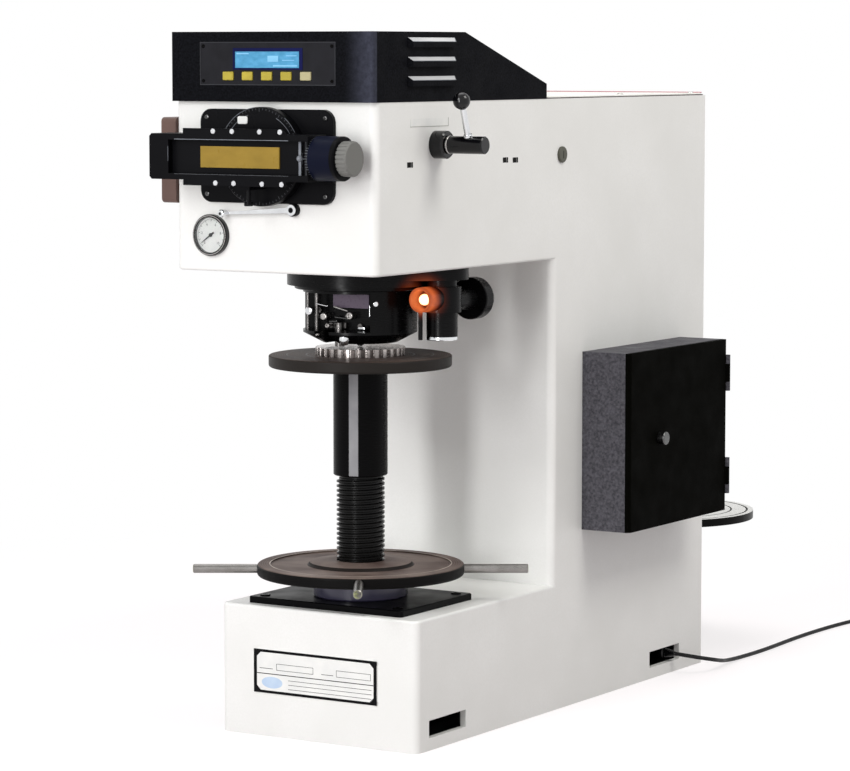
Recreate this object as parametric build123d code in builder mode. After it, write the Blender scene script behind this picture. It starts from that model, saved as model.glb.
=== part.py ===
import os
from math import cos, pi, radians, sin, tan

from build123d import *

os.makedirs("parts", exist_ok=True)

# Brinell hardness tester. The origin is on the floor under the axis of the elevating screw, +Z is up,
# +X is the operator's right and -Y is towards the operator. Millimetres.

# --- casing ---------------------------------------------------------------------------------------
BODY_WIDTH = 264.0
BODY_REAR = 600.0
BASE_FRONT = -90.0
BASE_HEIGHT = 149.0
THROAT = 210.0  # screw axis to column face
HEAD_FRONT = -172.0
THROAT_HEIGHT = 385.0  # base top to head underside
HEAD_HEIGHT = 187.0
WALL = 10.0
EDGE_ROUND = 9.0
RIM_ROUND = 3.0
COVER_THICK = 3.0
SLOT_LENGTH = 79.0
SLOT_HEIGHT = 20.0
SLOT_BOTTOM = 14.0
FRONT_SLOT_Y = -25.0
REAR_SLOT_Y = 494.0
BOLT_HOLE = 6.0
REAR_DOOR_WIDTH = 190.0
REAR_DOOR_RISE = 21.0
REAR_DOOR_SHOULDER = 24.0
REAR_DOOR_LIP = 12.0
COVER_MARGIN = 4.0
COVER_LIP = 21.0

# --- running clearances ---------------------------------------------------------------------------
RUNNING_FIT = 0.06  # radial, shaft in bore
AIR = 0.3  # between faces that pass each other

# --- elevating screw and table --------------------------------------------------------------------
THREAD_R = 27.5
SHANK_R = 31.0
THREAD_REACH = 37.0  # below the top of the base
SHANK_LENGTH = 124.0
TABLE_THICK = 13.6
TABLE_R = 104.4
SPIGOT_R = 14.0
ANVIL_R = 51.0
ANVIL_THICK = 9.0
ANVIL_FLUTES = 36
FLUTE_R = 1.6
ANVIL_PIN_R = 10.0
ANVIL_PIN = 4.0
SPIGOT = 8.0

# --- handwheel ------------------------------------------------------------------------------------
FLANGE_LENGTH = 207.0
FLANGE_DEPTH = 153.0
FLANGE_THICK = 7.5
BEARING_R = 54.0
BEARING_RING = 5.5
HUB_FLANGE_R = 58.0
RIM_WIDTH = 14.0
NUT_R = 40.0
WHEEL_R = 118.6
BEARING_HEIGHT = 23.2
WHEEL_THICK = 13.0
ROD_R = 5.2
ROD_REACH = 191.8
ROD_SOCKET = 14.0
ROD_TURN = 31.9  # angle of the first rod from +X, degrees

# --- display box ----------------------------------------------------------------------------------
CASE_SIDE_LIP = 0.5
CASE_OVERHANG = 7.0
CASE_BROW = 10.8
CASE_SLOPE_START = 11.0
CASE_REAR = 193.0
CASE_REAR_HEIGHT = 17.4
SHEET = 2.0
PANEL_X = -4.7
PANEL_LENGTH = 179.0
CASE_FOOT = 17.6
KEY_MARGIN = 5.7
KEY_GAP = 3.9
LCD_MARGIN = 10.4
PANEL_THICK = 2.0
PANEL_RECESS = 0.8
PANEL_LIP = 4.0
LCD_LENGTH = 85.0
LCD_HEIGHT = 18.4
KEY_LENGTH = 14.0
KEY_HEIGHT = 9.2
KEY_PITCH = 25.5
KEY_PROUD = 0.8
KEY_LIP = 1.0
LOUVRE_LENGTH = 98.0
LOUVRE_Y = -61.0
LOUVRES = 3
LOUVRE_MARGIN = 6.0
LOUVRE_PITCH = 21.0
LOUVRE_DROP = 11.0
LOUVRE_DEPTH = 5.0
LOUVRE_SKIN = 1.4

# --- screen head ----------------------------------------------------------------------------------
SCREEN_X = -7.0
SCREEN_RISE = 127.7
PLATE_LENGTH = 175.0
PLATE_HEIGHT = 102.5
PLATE_THICK = 6.0
PLATE_ROUND = 14.0
RING_R = 54.0
RING_BORE_R = 30.0
RING_THICK = 12.0
HOUSING_LEFT = -128.5
HOUSING_RIGHT = 80.0
HOUSING_HEIGHT = 50.0
HOUSING_THICK = 36.0
RECESS_LEFT = -103.0
RECESS_RIGHT = 76.0
RECESS_HEIGHT = 36.5
RECESS_DEPTH = 8.0
GLASS_LEFT = -64.0
GLASS_RIGHT = 39.0
GLASS_HEIGHT = 23.0
CLAMP_LEFT = -83.0
CLAMP_RIGHT = 52.0
CLAMP_HEIGHT = 6.0
CLAMP_THICK = 3.0
DRUM_PROUD = 33.0
DRUM_R = 24.0
DRUM_LENGTH = 33.0
DRUM_CAP = 13.0
DRUM_CAP_R = 19.0
DRUM_SHAFT_R = 4.0
DRUM_SHAFT_DEPTH = 20.0
INDEX_X = 67.5
INDEX_WIDTH = 3.0
INDEX_THICK = 2.0
INDEX_KNOB_R = 3.5
CLAMP_BLOCK = 10.0
CLAMP_BLOCK_WIDTH = 19.0
CLAMP_SCREW_X = -9.0
CLAMP_SCREW_PROUD = 36.0
CLAMP_SCREW_R = 2.2
CLAMP_REACH = 13.0
CLAMP_KNOB_R = 5.0
TUBE_R = 18.0
TUBE_REACH = 112.0

# --- head fittings --------------------------------------------------------------------------------
GAUGE_X = -83.0
GAUGE_RISE = 39.9
GAUGE_R = 23.0
GAUGE_DEPTH = 26.0
GAUGE_PROUD = 6.0
POINTER_SHAFT_R = 1.0
POINTER_SHAFT_DEPTH = 3.0
POINTER_REACH = 15.0
POINTER_REST = 215.0  # direction of the resting pointer, degrees
FOCUS_X = 27.0
FOCUS_RISE = 70.0
FOCUS_REACH = 89.0
FOCUS_FALL = 5.3
FOCUS_EAR_R = 7.0
FOCUS_PIN_R = 3.0
FOCUS_THICK = 2.0
LEVER_Y = -50.0
LEVER_RISE = 139.7
BOSS_R = 15.4
BOSS_LENGTH = 16.0
HUB_R = 9.7
HUB_LENGTH = 63.0
HANDLE_R = 3.2
HANDLE_OFFSET = 43.0  # rod from the casing side
HANDLE_LENGTH = 51.2
HANDLE_LEAN = 19.4  # towards the operator, degrees
LEVER_SHAFT_R = 8.0
LEVER_SHAFT_END = 60.0
SLEEVE_R = 11.9
BALL_R = 9.5
PLUG_Y = 228.8
PLUG_RISE = 121.8
PLUG_R = 9.5
PLUG_STEM_R = 7.9
SELECTOR_THICK = 20.5
SELECTOR_DEPTH = 80.0
SELECTOR_HEIGHT = 95.0
SELECTOR_RISE = 121.5
SELECTOR_SETBACK = 47.0
SELECTOR_SHAFT_R = 5.0
SELECTOR_KNOB_R = 20.0
SELECTOR_KNOB_LENGTH = 15.0

# --- turret ---------------------------------------------------------------------------------------
PIVOT_X = 33.0
PIVOT_Y = 117.0
SWING = 49.0  # degrees from indenter to objective
POST_R = 14.0
SWING_PLATE_GAP = 0.4
SWING_PLATE_THICK = 12.6
POST_COLLAR = 11.7
FLANGE_R = 83.0
FLANGE_STEP_DROP = 21.0
STEP_R = 74.5
BLOCK_R = 65.0
FLANGE_STEP = 4.5
BLOCK_STRAIGHT = 49.5
BLOCK_NOSE = 11.4
BLOCK_NOSE_R = 43.0
WINDOW_SILL = 3.0
WINDOW_LINTEL = 3.5
WINDOW_RIGHT = 44.0
WINDOW_BACK_Y = -20.0
FACE_LENGTH = 48.0
FACE_HEIGHT = 17.5
FACE_X = 3.0
FOOT_X = -11.0
FOOT_Y = -26.0
FOOT_R = 5.5
FOOT_PROUD = 4.4
SPINDLE_R = 9.0
SPINDLE_RECESS = 1.7
SPINDLE_TAPER_RISE = 4.4
BALL_SEAT_PROUD = 3.0
OBJECTIVE_R = 17.6
PRISM_R = 22.0
PRISM_HEIGHT = 29.0
LENS_CELL_RISE = 4.8
LENS_CELL = 4.1
LAMP_R = 14.0
LAMP_WALL = 2.5
LAMP_LENGTH = 25.3
LAMP_DROP = 13.0
BULB_R = 6.3
GUIDE_R = 2.5
ILLUMINATOR_R = 24.0
ILLUMINATOR_Y = 74.0
ILLUMINATOR_DROP = 4.5
ILLUMINATOR_LENGTH = 16.0
ILLUMINATOR_NECK_R = 12.0

# --- load train -----------------------------------------------------------------------------------
INDENTER_BALL_R = 5.0
BALL_PROUD = 2.7
THRUST_R = 8.0
BUSH_R = 15.0
BUSH_HEIGHT = 41.0
MOUNT_WIDTH = 90.0
MOUNT_LENGTH = 110.0
MOUNT_THICK = 8.0
CHEEK_FOOT = 22.0
CHEEK_R = 12.0
FULCRUM_R = 6.0
FULCRUM_Y = -40.0
HANGER_OVERHANG = 135.0
HANGER_PIN_R = 5.0
HANGER_FORK = 6.0
LEVER_GAP = 0.4
BEAM_RISE = 71.0
BEAM_HEIGHT = 28.0
BEAM_WIDTH = 22.0
LIFT_Y = 400.0
LIFT_R = 8.0
LIFT_REACH = 20.0
LIFT_GAP = 0.5
SHELF_DROP = 34.0
SHELF_DEPTH = 220.0
SHELF_THICK = 12.0
SHELF_SETBACK = 140.0
GEARBOX = 70.0
GEARBOX_HEIGHT = 60.0
MOTOR_LENGTH = 125.0
MOTOR_SINK = 6.0
MOTOR_R = 38.0
PAN_R = 120.0
PAN_RISE = 24.0
PAN_THICK = 10.0
HANGER_R = 7.0

# --- side cabinet ---------------------------------------------------------------------------------
CABINET_SETBACK = 71.0
CABINET_LENGTH = 249.0
CABINET_RISE = 59.0
CABINET_HEIGHT = 213.0
CABINET_DEPTH = 58.0
CABINET_SHEET = 3.0
DOOR_THICK = 6.0
HINGE_R = 3.5
HINGE_PIN_R = 1.5
KNUCKLE = 22.0
DOOR_KNOB_INSET = 76.0
DOOR_KNOB_R = 8.0
KNOB_SHAFT_R = 3.0

# --- name plate -----------------------------------------------------------------------------------
NAMEPLATE_X = -2.8
NAMEPLATE_Z = 74.9
NAMEPLATE_LENGTH = 166.4
NAMEPLATE_HEIGHT = 50.3
NAMEPLATE_NOTCH = 5.0
NAMEPLATE_THICK = 1.5

# --- mains lead -----------------------------------------------------------------------------------
CORD_R = 2.5
GLAND_Y = 512.0
GLAND_Z = 24.0
GLAND_R = 7.5
GLAND_END = 138.0
COIL_X = 205.0
COIL_Y = 1050.0
COIL_MEAN_R = 27.5
COIL_WIDTH = 15.0
COIL_HEIGHT = 15.0
MAINS_PLUG_R = 13.0
MAINS_PLUG_LENGTH = 34.0
MAINS_PIN_R = 2.4
MAINS_PIN_LENGTH = 19.0
MAINS_PIN_PITCH = 19.0

HALF = BODY_WIDTH / 2
HEAD_BOTTOM = BASE_HEIGHT + THROAT_HEIGHT
BODY_TOP = HEAD_BOTTOM + HEAD_HEIGHT
REAR_DOOR_BOTTOM = BASE_HEIGHT + REAR_DOOR_RISE
REAR_DOOR_TOP = HEAD_BOTTOM - REAR_DOOR_SHOULDER
SWING_PLATE_TOP = HEAD_BOTTOM - SWING_PLATE_GAP
FLANGE_STEP_Z = HEAD_BOTTOM - FLANGE_STEP_DROP
BLOCK_TOP = FLANGE_STEP_Z - FLANGE_STEP
BLOCK_SHOULDER = BLOCK_TOP - BLOCK_STRAIGHT
BLOCK_BOTTOM = BLOCK_SHOULDER - BLOCK_NOSE
WINDOW_BOTTOM = BLOCK_SHOULDER + WINDOW_SILL
WINDOW_TOP = BLOCK_TOP - WINDOW_LINTEL
FOOT_BOTTOM = BLOCK_BOTTOM - FOOT_PROUD
SPINDLE_TOP = HEAD_BOTTOM - SPINDLE_RECESS
SPINDLE_TAPER = BLOCK_BOTTOM + SPINDLE_TAPER_RISE
BALL_SEAT = BLOCK_BOTTOM - BALL_SEAT_PROUD
ANVIL_TOP = BALL_SEAT - BALL_PROUD - AIR
TABLE_TOP = ANVIL_TOP - ANVIL_THICK
TABLE_BOTTOM = TABLE_TOP - TABLE_THICK
SHANK_BOTTOM = TABLE_BOTTOM - SHANK_LENGTH
THREAD_BOTTOM = BASE_HEIGHT - THREAD_REACH
FLANGE_TOP = BASE_HEIGHT + FLANGE_THICK
WHEEL_BOTTOM = FLANGE_TOP + BEARING_HEIGHT + AIR
WHEEL_TOP = WHEEL_BOTTOM + WHEEL_THICK
LENS_BOTTOM = BLOCK_BOTTOM + LENS_CELL_RISE
PRISM_BOTTOM = FLANGE_STEP_Z - PRISM_HEIGHT
LAMP_Z = FLANGE_STEP_Z - LAMP_DROP
ILLUMINATOR_Z = LAMP_Z - ILLUMINATOR_DROP
SCREEN_Z = HEAD_BOTTOM + SCREEN_RISE
GAUGE_Z = HEAD_BOTTOM + GAUGE_RISE
FOCUS_Z = HEAD_BOTTOM + FOCUS_RISE
LEVER_Z = HEAD_BOTTOM + LEVER_RISE
PLUG_Z = HEAD_BOTTOM + PLUG_RISE
SELECTOR_Z = HEAD_BOTTOM + SELECTOR_RISE
SELECTOR_Y = HEAD_FRONT + SELECTOR_SETBACK
DRUM_Y = HEAD_FRONT - DRUM_PROUD
CLAMP_SCREW_Y = HEAD_FRONT - CLAMP_SCREW_PROUD
CASE_FRONT = HEAD_FRONT - CASE_OVERHANG
CASE_WIDTH = BODY_WIDTH + 2 * CASE_SIDE_LIP
PANEL_HEIGHT = KEY_MARGIN + KEY_HEIGHT + KEY_GAP + LCD_HEIGHT + LCD_MARGIN
PANEL_BOTTOM = BODY_TOP + CASE_FOOT
PANEL_Z = PANEL_BOTTOM + PANEL_HEIGHT / 2
KEY_Z = PANEL_BOTTOM + KEY_MARGIN + KEY_HEIGHT / 2
LCD_Z = PANEL_BOTTOM + KEY_MARGIN + KEY_HEIGHT + KEY_GAP + LCD_HEIGHT / 2
CASE_TOP = PANEL_BOTTOM + PANEL_HEIGHT + CASE_BROW
CASE_REAR_TOP = BODY_TOP + CASE_REAR_HEIGHT
LOUVRE_TOPS = [CASE_TOP - LOUVRE_MARGIN - LOUVRE_PITCH * step for step in range(LOUVRES)]
BEAM_BOTTOM = HEAD_BOTTOM + BEAM_RISE
HANGER_Y = BODY_REAR + HANGER_OVERHANG
MOTOR_SHELF = HEAD_BOTTOM - SHELF_DROP
LIFT_BOTTOM = MOTOR_SHELF - LIFT_REACH
PAN_TOP = BASE_HEIGHT + PAN_RISE
CABINET_BOTTOM = BASE_HEIGHT + CABINET_RISE
CABINET_TOP = CABINET_BOTTOM + CABINET_HEIGHT
CABINET_FRONT = THROAT + CABINET_SETBACK
CABINET_REAR = CABINET_FRONT + CABINET_LENGTH
DOOR_KNOB_Y = CABINET_FRONT + DOOR_KNOB_INSET
BEAM_MID = BEAM_BOTTOM + BEAM_HEIGHT / 2
GAUGE_BODY_R = GAUGE_R - 2.5


def facing_front(y):
    """Plane at depth y that faces the operator: local x is +X, local y is +Z, the normal is -Y."""
    return Plane.XZ.offset(-y)


def facing_right(x):
    """Plane at x that faces the operator's right: local x is +Y, local y is +Z, the normal is +X."""
    return Plane.YZ.offset(x)


def level(z):
    """Horizontal plane at height z."""
    return Plane.XY.offset(z)


# ==================================================================================================
# Casing: one C-shaped welded shell, cut into base, column and head
# ==================================================================================================
def side_outline(inset):
    """Corners of the C-shaped side outline as (y, z), moved inwards by inset."""
    return [
        (BASE_FRONT + inset, inset),
        (BODY_REAR - inset, inset),
        (BODY_REAR - inset, BODY_TOP - inset),
        (HEAD_FRONT + inset, BODY_TOP - inset),
        (HEAD_FRONT + inset, HEAD_BOTTOM + inset),
        (THROAT + inset, HEAD_BOTTOM + inset),
        (THROAT + inset, BASE_HEIGHT - inset),
        (BASE_FRONT + inset, BASE_HEIGHT - inset),
    ]


with BuildPart() as shell:
    with BuildSketch(Plane.YZ):
        with BuildLine():
            Polyline(*side_outline(0), close=True)
        make_face()
    extrude(amount=HALF, both=True)
    fillet(shell.edges().filter_by(Axis.Z), EDGE_ROUND)
    crosswise = shell.edges().filter_by(Axis.X)
    front_rims = crosswise.filter_by_position(Axis.Y, HEAD_FRONT - 1, BASE_FRONT + 1)
    fillet(front_rims.filter_by_position(Axis.Z, BASE_HEIGHT - 1, HEAD_BOTTOM + 1), RIM_ROUND)
    with BuildSketch(Plane.YZ):
        with BuildLine():
            Polyline(*side_outline(WALL), close=True)
        make_face()
    extrude(amount=HALF - WALL, both=True, mode=Mode.SUBTRACT)

with BuildPart() as base_casing:
    add(shell)
    split(bisect_by=level(BASE_HEIGHT), keep=Keep.BOTTOM)
    with Locations((0, 0, BASE_HEIGHT)):
        Hole(THREAD_R + 4, depth=2 * WALL)
    for slot_y in (FRONT_SLOT_Y, REAR_SLOT_Y):
        with BuildSketch(Plane.YZ):
            with Locations((slot_y, SLOT_BOTTOM + SLOT_HEIGHT / 2)):
                Rectangle(SLOT_LENGTH, SLOT_HEIGHT)
        extrude(amount=HALF, both=True, mode=Mode.SUBTRACT)
base_casing.part.label = "base_casing"
export_step(base_casing.part, "parts/base_casing.step")

with BuildPart() as column_casing:
    add(shell)
    split(bisect_by=level(BASE_HEIGHT), keep=Keep.TOP)
    split(bisect_by=level(HEAD_BOTTOM), keep=Keep.BOTTOM)
    with BuildSketch(facing_front(BODY_REAR)):
        with Locations((0, (REAR_DOOR_BOTTOM + REAR_DOOR_TOP) / 2)):
            Rectangle(
                REAR_DOOR_WIDTH - 2 * REAR_DOOR_LIP, REAR_DOOR_TOP - REAR_DOOR_BOTTOM - 2 * REAR_DOOR_LIP
            )
    extrude(amount=WALL, mode=Mode.SUBTRACT)
column_casing.part.label = "column_casing"
export_step(column_casing.part, "parts/column_casing.step")

LEVER_SLOT_WIDTH = 32.0
LEVER_SLOT_BOTTOM = BEAM_BOTTOM - 8
LEVER_SLOT_TOP = BEAM_BOTTOM + BEAM_HEIGHT + 34
SIDE_HOLES = [
    (-103.9, HEAD_BOTTOM + 118.8),
    (100.0, HEAD_BOTTOM + 118.8),
    (122.2, HEAD_BOTTOM + 118.2),
]
with BuildPart() as head_casing:
    add(shell)
    split(bisect_by=level(HEAD_BOTTOM), keep=Keep.TOP)
    with BuildSketch(level(BODY_TOP)):
        with Locations((0, (CASE_REAR + BODY_REAR) / 2)):
            Rectangle(BODY_WIDTH - 2 * COVER_LIP, BODY_REAR - CASE_REAR - 2 * COVER_LIP)
    extrude(amount=-WALL, mode=Mode.SUBTRACT)
    with BuildSketch(facing_front(BODY_REAR)):
        with Locations((0, (LEVER_SLOT_BOTTOM + LEVER_SLOT_TOP) / 2)):
            Rectangle(LEVER_SLOT_WIDTH, LEVER_SLOT_TOP - LEVER_SLOT_BOTTOM)
    extrude(amount=WALL, mode=Mode.SUBTRACT)
    with BuildSketch(level(HEAD_BOTTOM)):
        Circle(BUSH_R)
    extrude(amount=WALL, mode=Mode.SUBTRACT)
    with BuildSketch(facing_front(HEAD_FRONT)):
        with Locations((SCREEN_X, SCREEN_Z)):
            Circle(TUBE_R)
        with Locations((GAUGE_X, GAUGE_Z)):
            Circle(GAUGE_BODY_R)
    extrude(amount=-WALL, mode=Mode.SUBTRACT)
    with BuildSketch(facing_right(HALF)):
        with Locations((LEVER_Y, LEVER_Z)):
            Circle(SLEEVE_R)
        with Locations((PLUG_Y, PLUG_Z)):
            Circle(PLUG_STEM_R)
    extrude(amount=-WALL, mode=Mode.SUBTRACT)
    with BuildSketch(facing_right(HALF)):
        with Locations(*SIDE_HOLES):
            Rectangle(BOLT_HOLE, BOLT_HOLE)
    extrude(amount=-WALL / 2, mode=Mode.SUBTRACT)
    with BuildSketch(facing_right(-HALF)):
        with Locations((SELECTOR_Y, SELECTOR_Z)):
            Circle(SELECTOR_SHAFT_R + AIR)
    extrude(amount=WALL, mode=Mode.SUBTRACT)
head_casing.part.label = "head_casing"
export_step(head_casing.part, "parts/head_casing.step")

with BuildPart() as top_cover:
    with BuildSketch(level(BODY_TOP)):
        with Locations((0, (CASE_REAR + BODY_REAR) / 2)):
            RectangleRounded(
                BODY_WIDTH - 2 * COVER_MARGIN, BODY_REAR - CASE_REAR - 2 * COVER_MARGIN, EDGE_ROUND
            )
    extrude(amount=COVER_THICK)
    chamfer(top_cover.faces().sort_by(Axis.Z)[-1].edges(), COVER_THICK / 4)
top_cover.part.label = "top_cover"
export_step(top_cover.part, "parts/top_cover.step")

with BuildPart() as rear_cover:
    with BuildSketch(facing_front(BODY_REAR)):
        with Locations((0, (REAR_DOOR_BOTTOM + REAR_DOOR_TOP) / 2)):
            RectangleRounded(REAR_DOOR_WIDTH, REAR_DOOR_TOP - REAR_DOOR_BOTTOM, 4)
    extrude(amount=-SHEET)
    with BuildSketch(facing_front(BODY_REAR + SHEET)):
        with Locations((0, (REAR_DOOR_BOTTOM + REAR_DOOR_TOP) / 2)):
            with GridLocations(REAR_DOOR_WIDTH - 12, REAR_DOOR_TOP - REAR_DOOR_BOTTOM - 12, 2, 2):
                Circle(2)
    extrude(amount=SHEET, mode=Mode.SUBTRACT)
rear_cover.part.label = "rear_cover"
export_step(rear_cover.part, "parts/rear_cover.step")


# ==================================================================================================
# Display box on the head: folded sheet with pressed louvres, panel, window and keys
# ==================================================================================================
with BuildPart() as louvre:
    with BuildSketch(Plane.XZ):
        with BuildLine():
            Polyline(
                (0, 0),
                (LOUVRE_DEPTH, -LOUVRE_DEPTH),
                (LOUVRE_DEPTH, -LOUVRE_DROP),
                (0, -LOUVRE_DROP),
                close=True,
            )
        make_face()
    extrude(amount=LOUVRE_LENGTH / 2, both=True)
    louvre_ends = louvre.edges().filter_by(Axis.Z).group_by(Axis.X)[-1]
    chamfer(louvre_ends, LOUVRE_DEPTH * 0.9)

with BuildPart() as louvre_mouth:
    with BuildSketch(Plane.XZ):
        with BuildLine():
            Polyline(
                (-2 * SHEET, -2.2 * LOUVRE_SKIN),
                (LOUVRE_SKIN * 0.8, -2.2 * LOUVRE_SKIN),
                (LOUVRE_DEPTH - LOUVRE_SKIN, -LOUVRE_DEPTH - LOUVRE_SKIN / 2),
                (LOUVRE_DEPTH - LOUVRE_SKIN, -LOUVRE_DROP),
                (-2 * SHEET, -LOUVRE_DROP),
                close=True,
            )
        make_face()
    extrude(amount=LOUVRE_LENGTH / 2 - LOUVRE_DEPTH, both=True)

with BuildPart() as display_case:
    with BuildSketch(Plane.YZ):
        with BuildLine():
            Polyline(
                (CASE_FRONT, BODY_TOP),
                (CASE_FRONT, CASE_TOP),
                (CASE_SLOPE_START, CASE_TOP),
                (CASE_REAR, CASE_REAR_TOP),
                (CASE_REAR, BODY_TOP),
                close=True,
            )
        make_face()
    extrude(amount=CASE_WIDTH / 2, both=True)
    fillet(display_case.edges().filter_by(Axis.Z).group_by(Axis.Y)[0], 3 * SHEET / 2)
    with BuildSketch(Plane.YZ):
        with BuildLine():
            Polyline(
                (CASE_FRONT, BODY_TOP),
                (CASE_FRONT, CASE_TOP),
                (CASE_SLOPE_START, CASE_TOP),
                (CASE_REAR, CASE_REAR_TOP),
                (CASE_REAR, BODY_TOP),
                close=True,
            )
        make_face()
        offset(amount=-SHEET, kind=Kind.INTERSECTION, mode=Mode.REPLACE)
    extrude(amount=CASE_WIDTH / 2 - SHEET, both=True, mode=Mode.SUBTRACT)
    with Locations(*[(CASE_WIDTH / 2, LOUVRE_Y, top) for top in LOUVRE_TOPS]):
        add(louvre)
        add(louvre_mouth, mode=Mode.SUBTRACT)
    split(bisect_by=Plane.YZ, keep=Keep.TOP)
    mirror(about=Plane.YZ)
    with BuildSketch(facing_front(CASE_FRONT)):
        with Locations((PANEL_X, PANEL_Z)):
            Rectangle(PANEL_LENGTH, PANEL_HEIGHT)
    extrude(amount=-SHEET, mode=Mode.SUBTRACT)
display_case.part.label = "display_case"
export_step(display_case.part, "parts/display_case.step")

with BuildPart() as display_panel:
    with BuildSketch(facing_front(CASE_FRONT + PANEL_RECESS)):
        with Locations((PANEL_X, PANEL_Z)):
            Rectangle(PANEL_LENGTH, PANEL_HEIGHT)
    extrude(amount=PANEL_RECESS - SHEET)
    with BuildSketch(facing_front(CASE_FRONT + SHEET)):
        with Locations((PANEL_X, PANEL_Z)):
            Rectangle(PANEL_LENGTH + 2 * PANEL_LIP, PANEL_HEIGHT + 2 * PANEL_LIP)
    extrude(amount=-PANEL_THICK)
    with BuildSketch(facing_front(CASE_FRONT)):
        with Locations((PANEL_X, LCD_Z)):
            Rectangle(LCD_LENGTH, LCD_HEIGHT)
        with Locations((PANEL_X, KEY_Z)):
            with GridLocations(KEY_PITCH, 1, 5, 1):
                Rectangle(KEY_LENGTH + 2 * AIR, KEY_HEIGHT + 2 * AIR)
    extrude(amount=-SHEET - PANEL_THICK, mode=Mode.SUBTRACT)
display_panel.part.label = "display_panel"
export_step(display_panel.part, "parts/display_panel.step")

with BuildPart() as lcd_window:
    with BuildSketch(facing_front(CASE_FRONT + PANEL_RECESS + 0.4)):
        with Locations((PANEL_X, LCD_Z)):
            Rectangle(LCD_LENGTH, LCD_HEIGHT)
    extrude(amount=-PANEL_THICK)
lcd_window.part.label = "lcd_window"
export_step(lcd_window.part, "parts/lcd_window.step")

for number in range(5):
    key_x = PANEL_X + (number - 2) * KEY_PITCH
    with BuildPart() as key:
        with BuildSketch(facing_front(CASE_FRONT - KEY_PROUD)):
            with Locations((key_x, KEY_Z)):
                RectangleRounded(KEY_LENGTH, KEY_HEIGHT, 1)
        extrude(amount=-KEY_PROUD - SHEET - PANEL_THICK - AIR)
        chamfer(key.faces().sort_by(Axis.Y)[0].edges(), 0.5)
        with BuildSketch(facing_front(CASE_FRONT + SHEET + PANEL_THICK + AIR)):
            with Locations((key_x, KEY_Z)):
                Rectangle(KEY_LENGTH + 2 * KEY_LIP, KEY_HEIGHT + 2 * KEY_LIP)
        extrude(amount=-KEY_LIP)
    key.part.label = f"key_{number + 1}"
    export_step(key.part, f"parts/key_{number + 1}.step")


# ==================================================================================================
# Measuring screen on the head: fixed plate with the optical tube, turning ring, hood and drum
# ==================================================================================================
PLATE_FRONT = HEAD_FRONT - PLATE_THICK
RING_BACK = PLATE_FRONT - AIR
RING_FRONT = PLATE_FRONT - RING_THICK
HOUSING_FRONT = RING_FRONT - HOUSING_THICK

with BuildPart() as projector_plate:
    with BuildSketch(facing_front(HEAD_FRONT)):
        with Locations((SCREEN_X, SCREEN_Z)):
            RectangleRounded(PLATE_LENGTH, PLATE_HEIGHT, PLATE_ROUND)
    extrude(amount=PLATE_THICK)
    chamfer(projector_plate.faces().sort_by(Axis.Y)[0].edges(), 1)
    with BuildSketch(facing_front(PLATE_FRONT)):
        with Locations((SCREEN_X, SCREEN_Z)):
            Circle(RING_BORE_R - RUNNING_FIT)
    extrude(amount=RING_THICK - 2)
    with BuildSketch(facing_front(HEAD_FRONT)):
        with Locations((SCREEN_X, SCREEN_Z)):
            Circle(TUBE_R)
    extrude(amount=-TUBE_REACH)
    with BuildSketch(facing_front(HEAD_FRONT)):
        with Locations((FOCUS_X, FOCUS_Z)):
            Circle(FOCUS_EAR_R)
    extrude(amount=PLATE_THICK)
    with BuildSketch(facing_front(PLATE_FRONT)):
        with Locations((FOCUS_X, FOCUS_Z)):
            Circle(FOCUS_PIN_R)
    extrude(amount=FOCUS_THICK + AIR)
projector_plate.part.label = "projector_plate"
export_step(projector_plate.part, "parts/projector_plate.step")

with BuildPart() as focus_lever:
    with BuildSketch(facing_front(PLATE_FRONT - AIR)):
        with BuildLine():
            Polyline(
                (FOCUS_X, FOCUS_Z + 3),
                (FOCUS_X - FOCUS_REACH, FOCUS_Z - FOCUS_FALL + 1.4),
                (FOCUS_X - FOCUS_REACH, FOCUS_Z - FOCUS_FALL - 1.4),
                (FOCUS_X, FOCUS_Z - 3),
                close=True,
            )
        make_face()
        with Locations((FOCUS_X, FOCUS_Z)):
            Circle(FOCUS_EAR_R - 1)
            Circle(FOCUS_PIN_R + RUNNING_FIT, mode=Mode.SUBTRACT)
    extrude(amount=FOCUS_THICK)
    with BuildSketch(facing_front(PLATE_FRONT - AIR)):
        with Locations((FOCUS_X - FOCUS_REACH, FOCUS_Z - FOCUS_FALL)):
            Circle(4.2)
    extrude(amount=FOCUS_THICK + 6)
    fillet(focus_lever.faces().sort_by(Axis.Y)[0].edges(), 1.5)
focus_lever.part.label = "focus_lever"
export_step(focus_lever.part, "parts/focus_lever.step")

with BuildPart() as screen_ring:
    with BuildSketch(facing_front(RING_BACK)):
        with Locations((SCREEN_X, SCREEN_Z)):
            Circle(RING_R)
            Circle(RING_BORE_R, mode=Mode.SUBTRACT)
    extrude(amount=RING_BACK - RING_FRONT)
    chamfer(screen_ring.edges().filter_by(GeomType.CIRCLE).group_by(SortBy.RADIUS)[-1], 1.2)
screen_ring.part.label = "screen_ring"
export_step(screen_ring.part, "parts/screen_ring.step")

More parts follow.
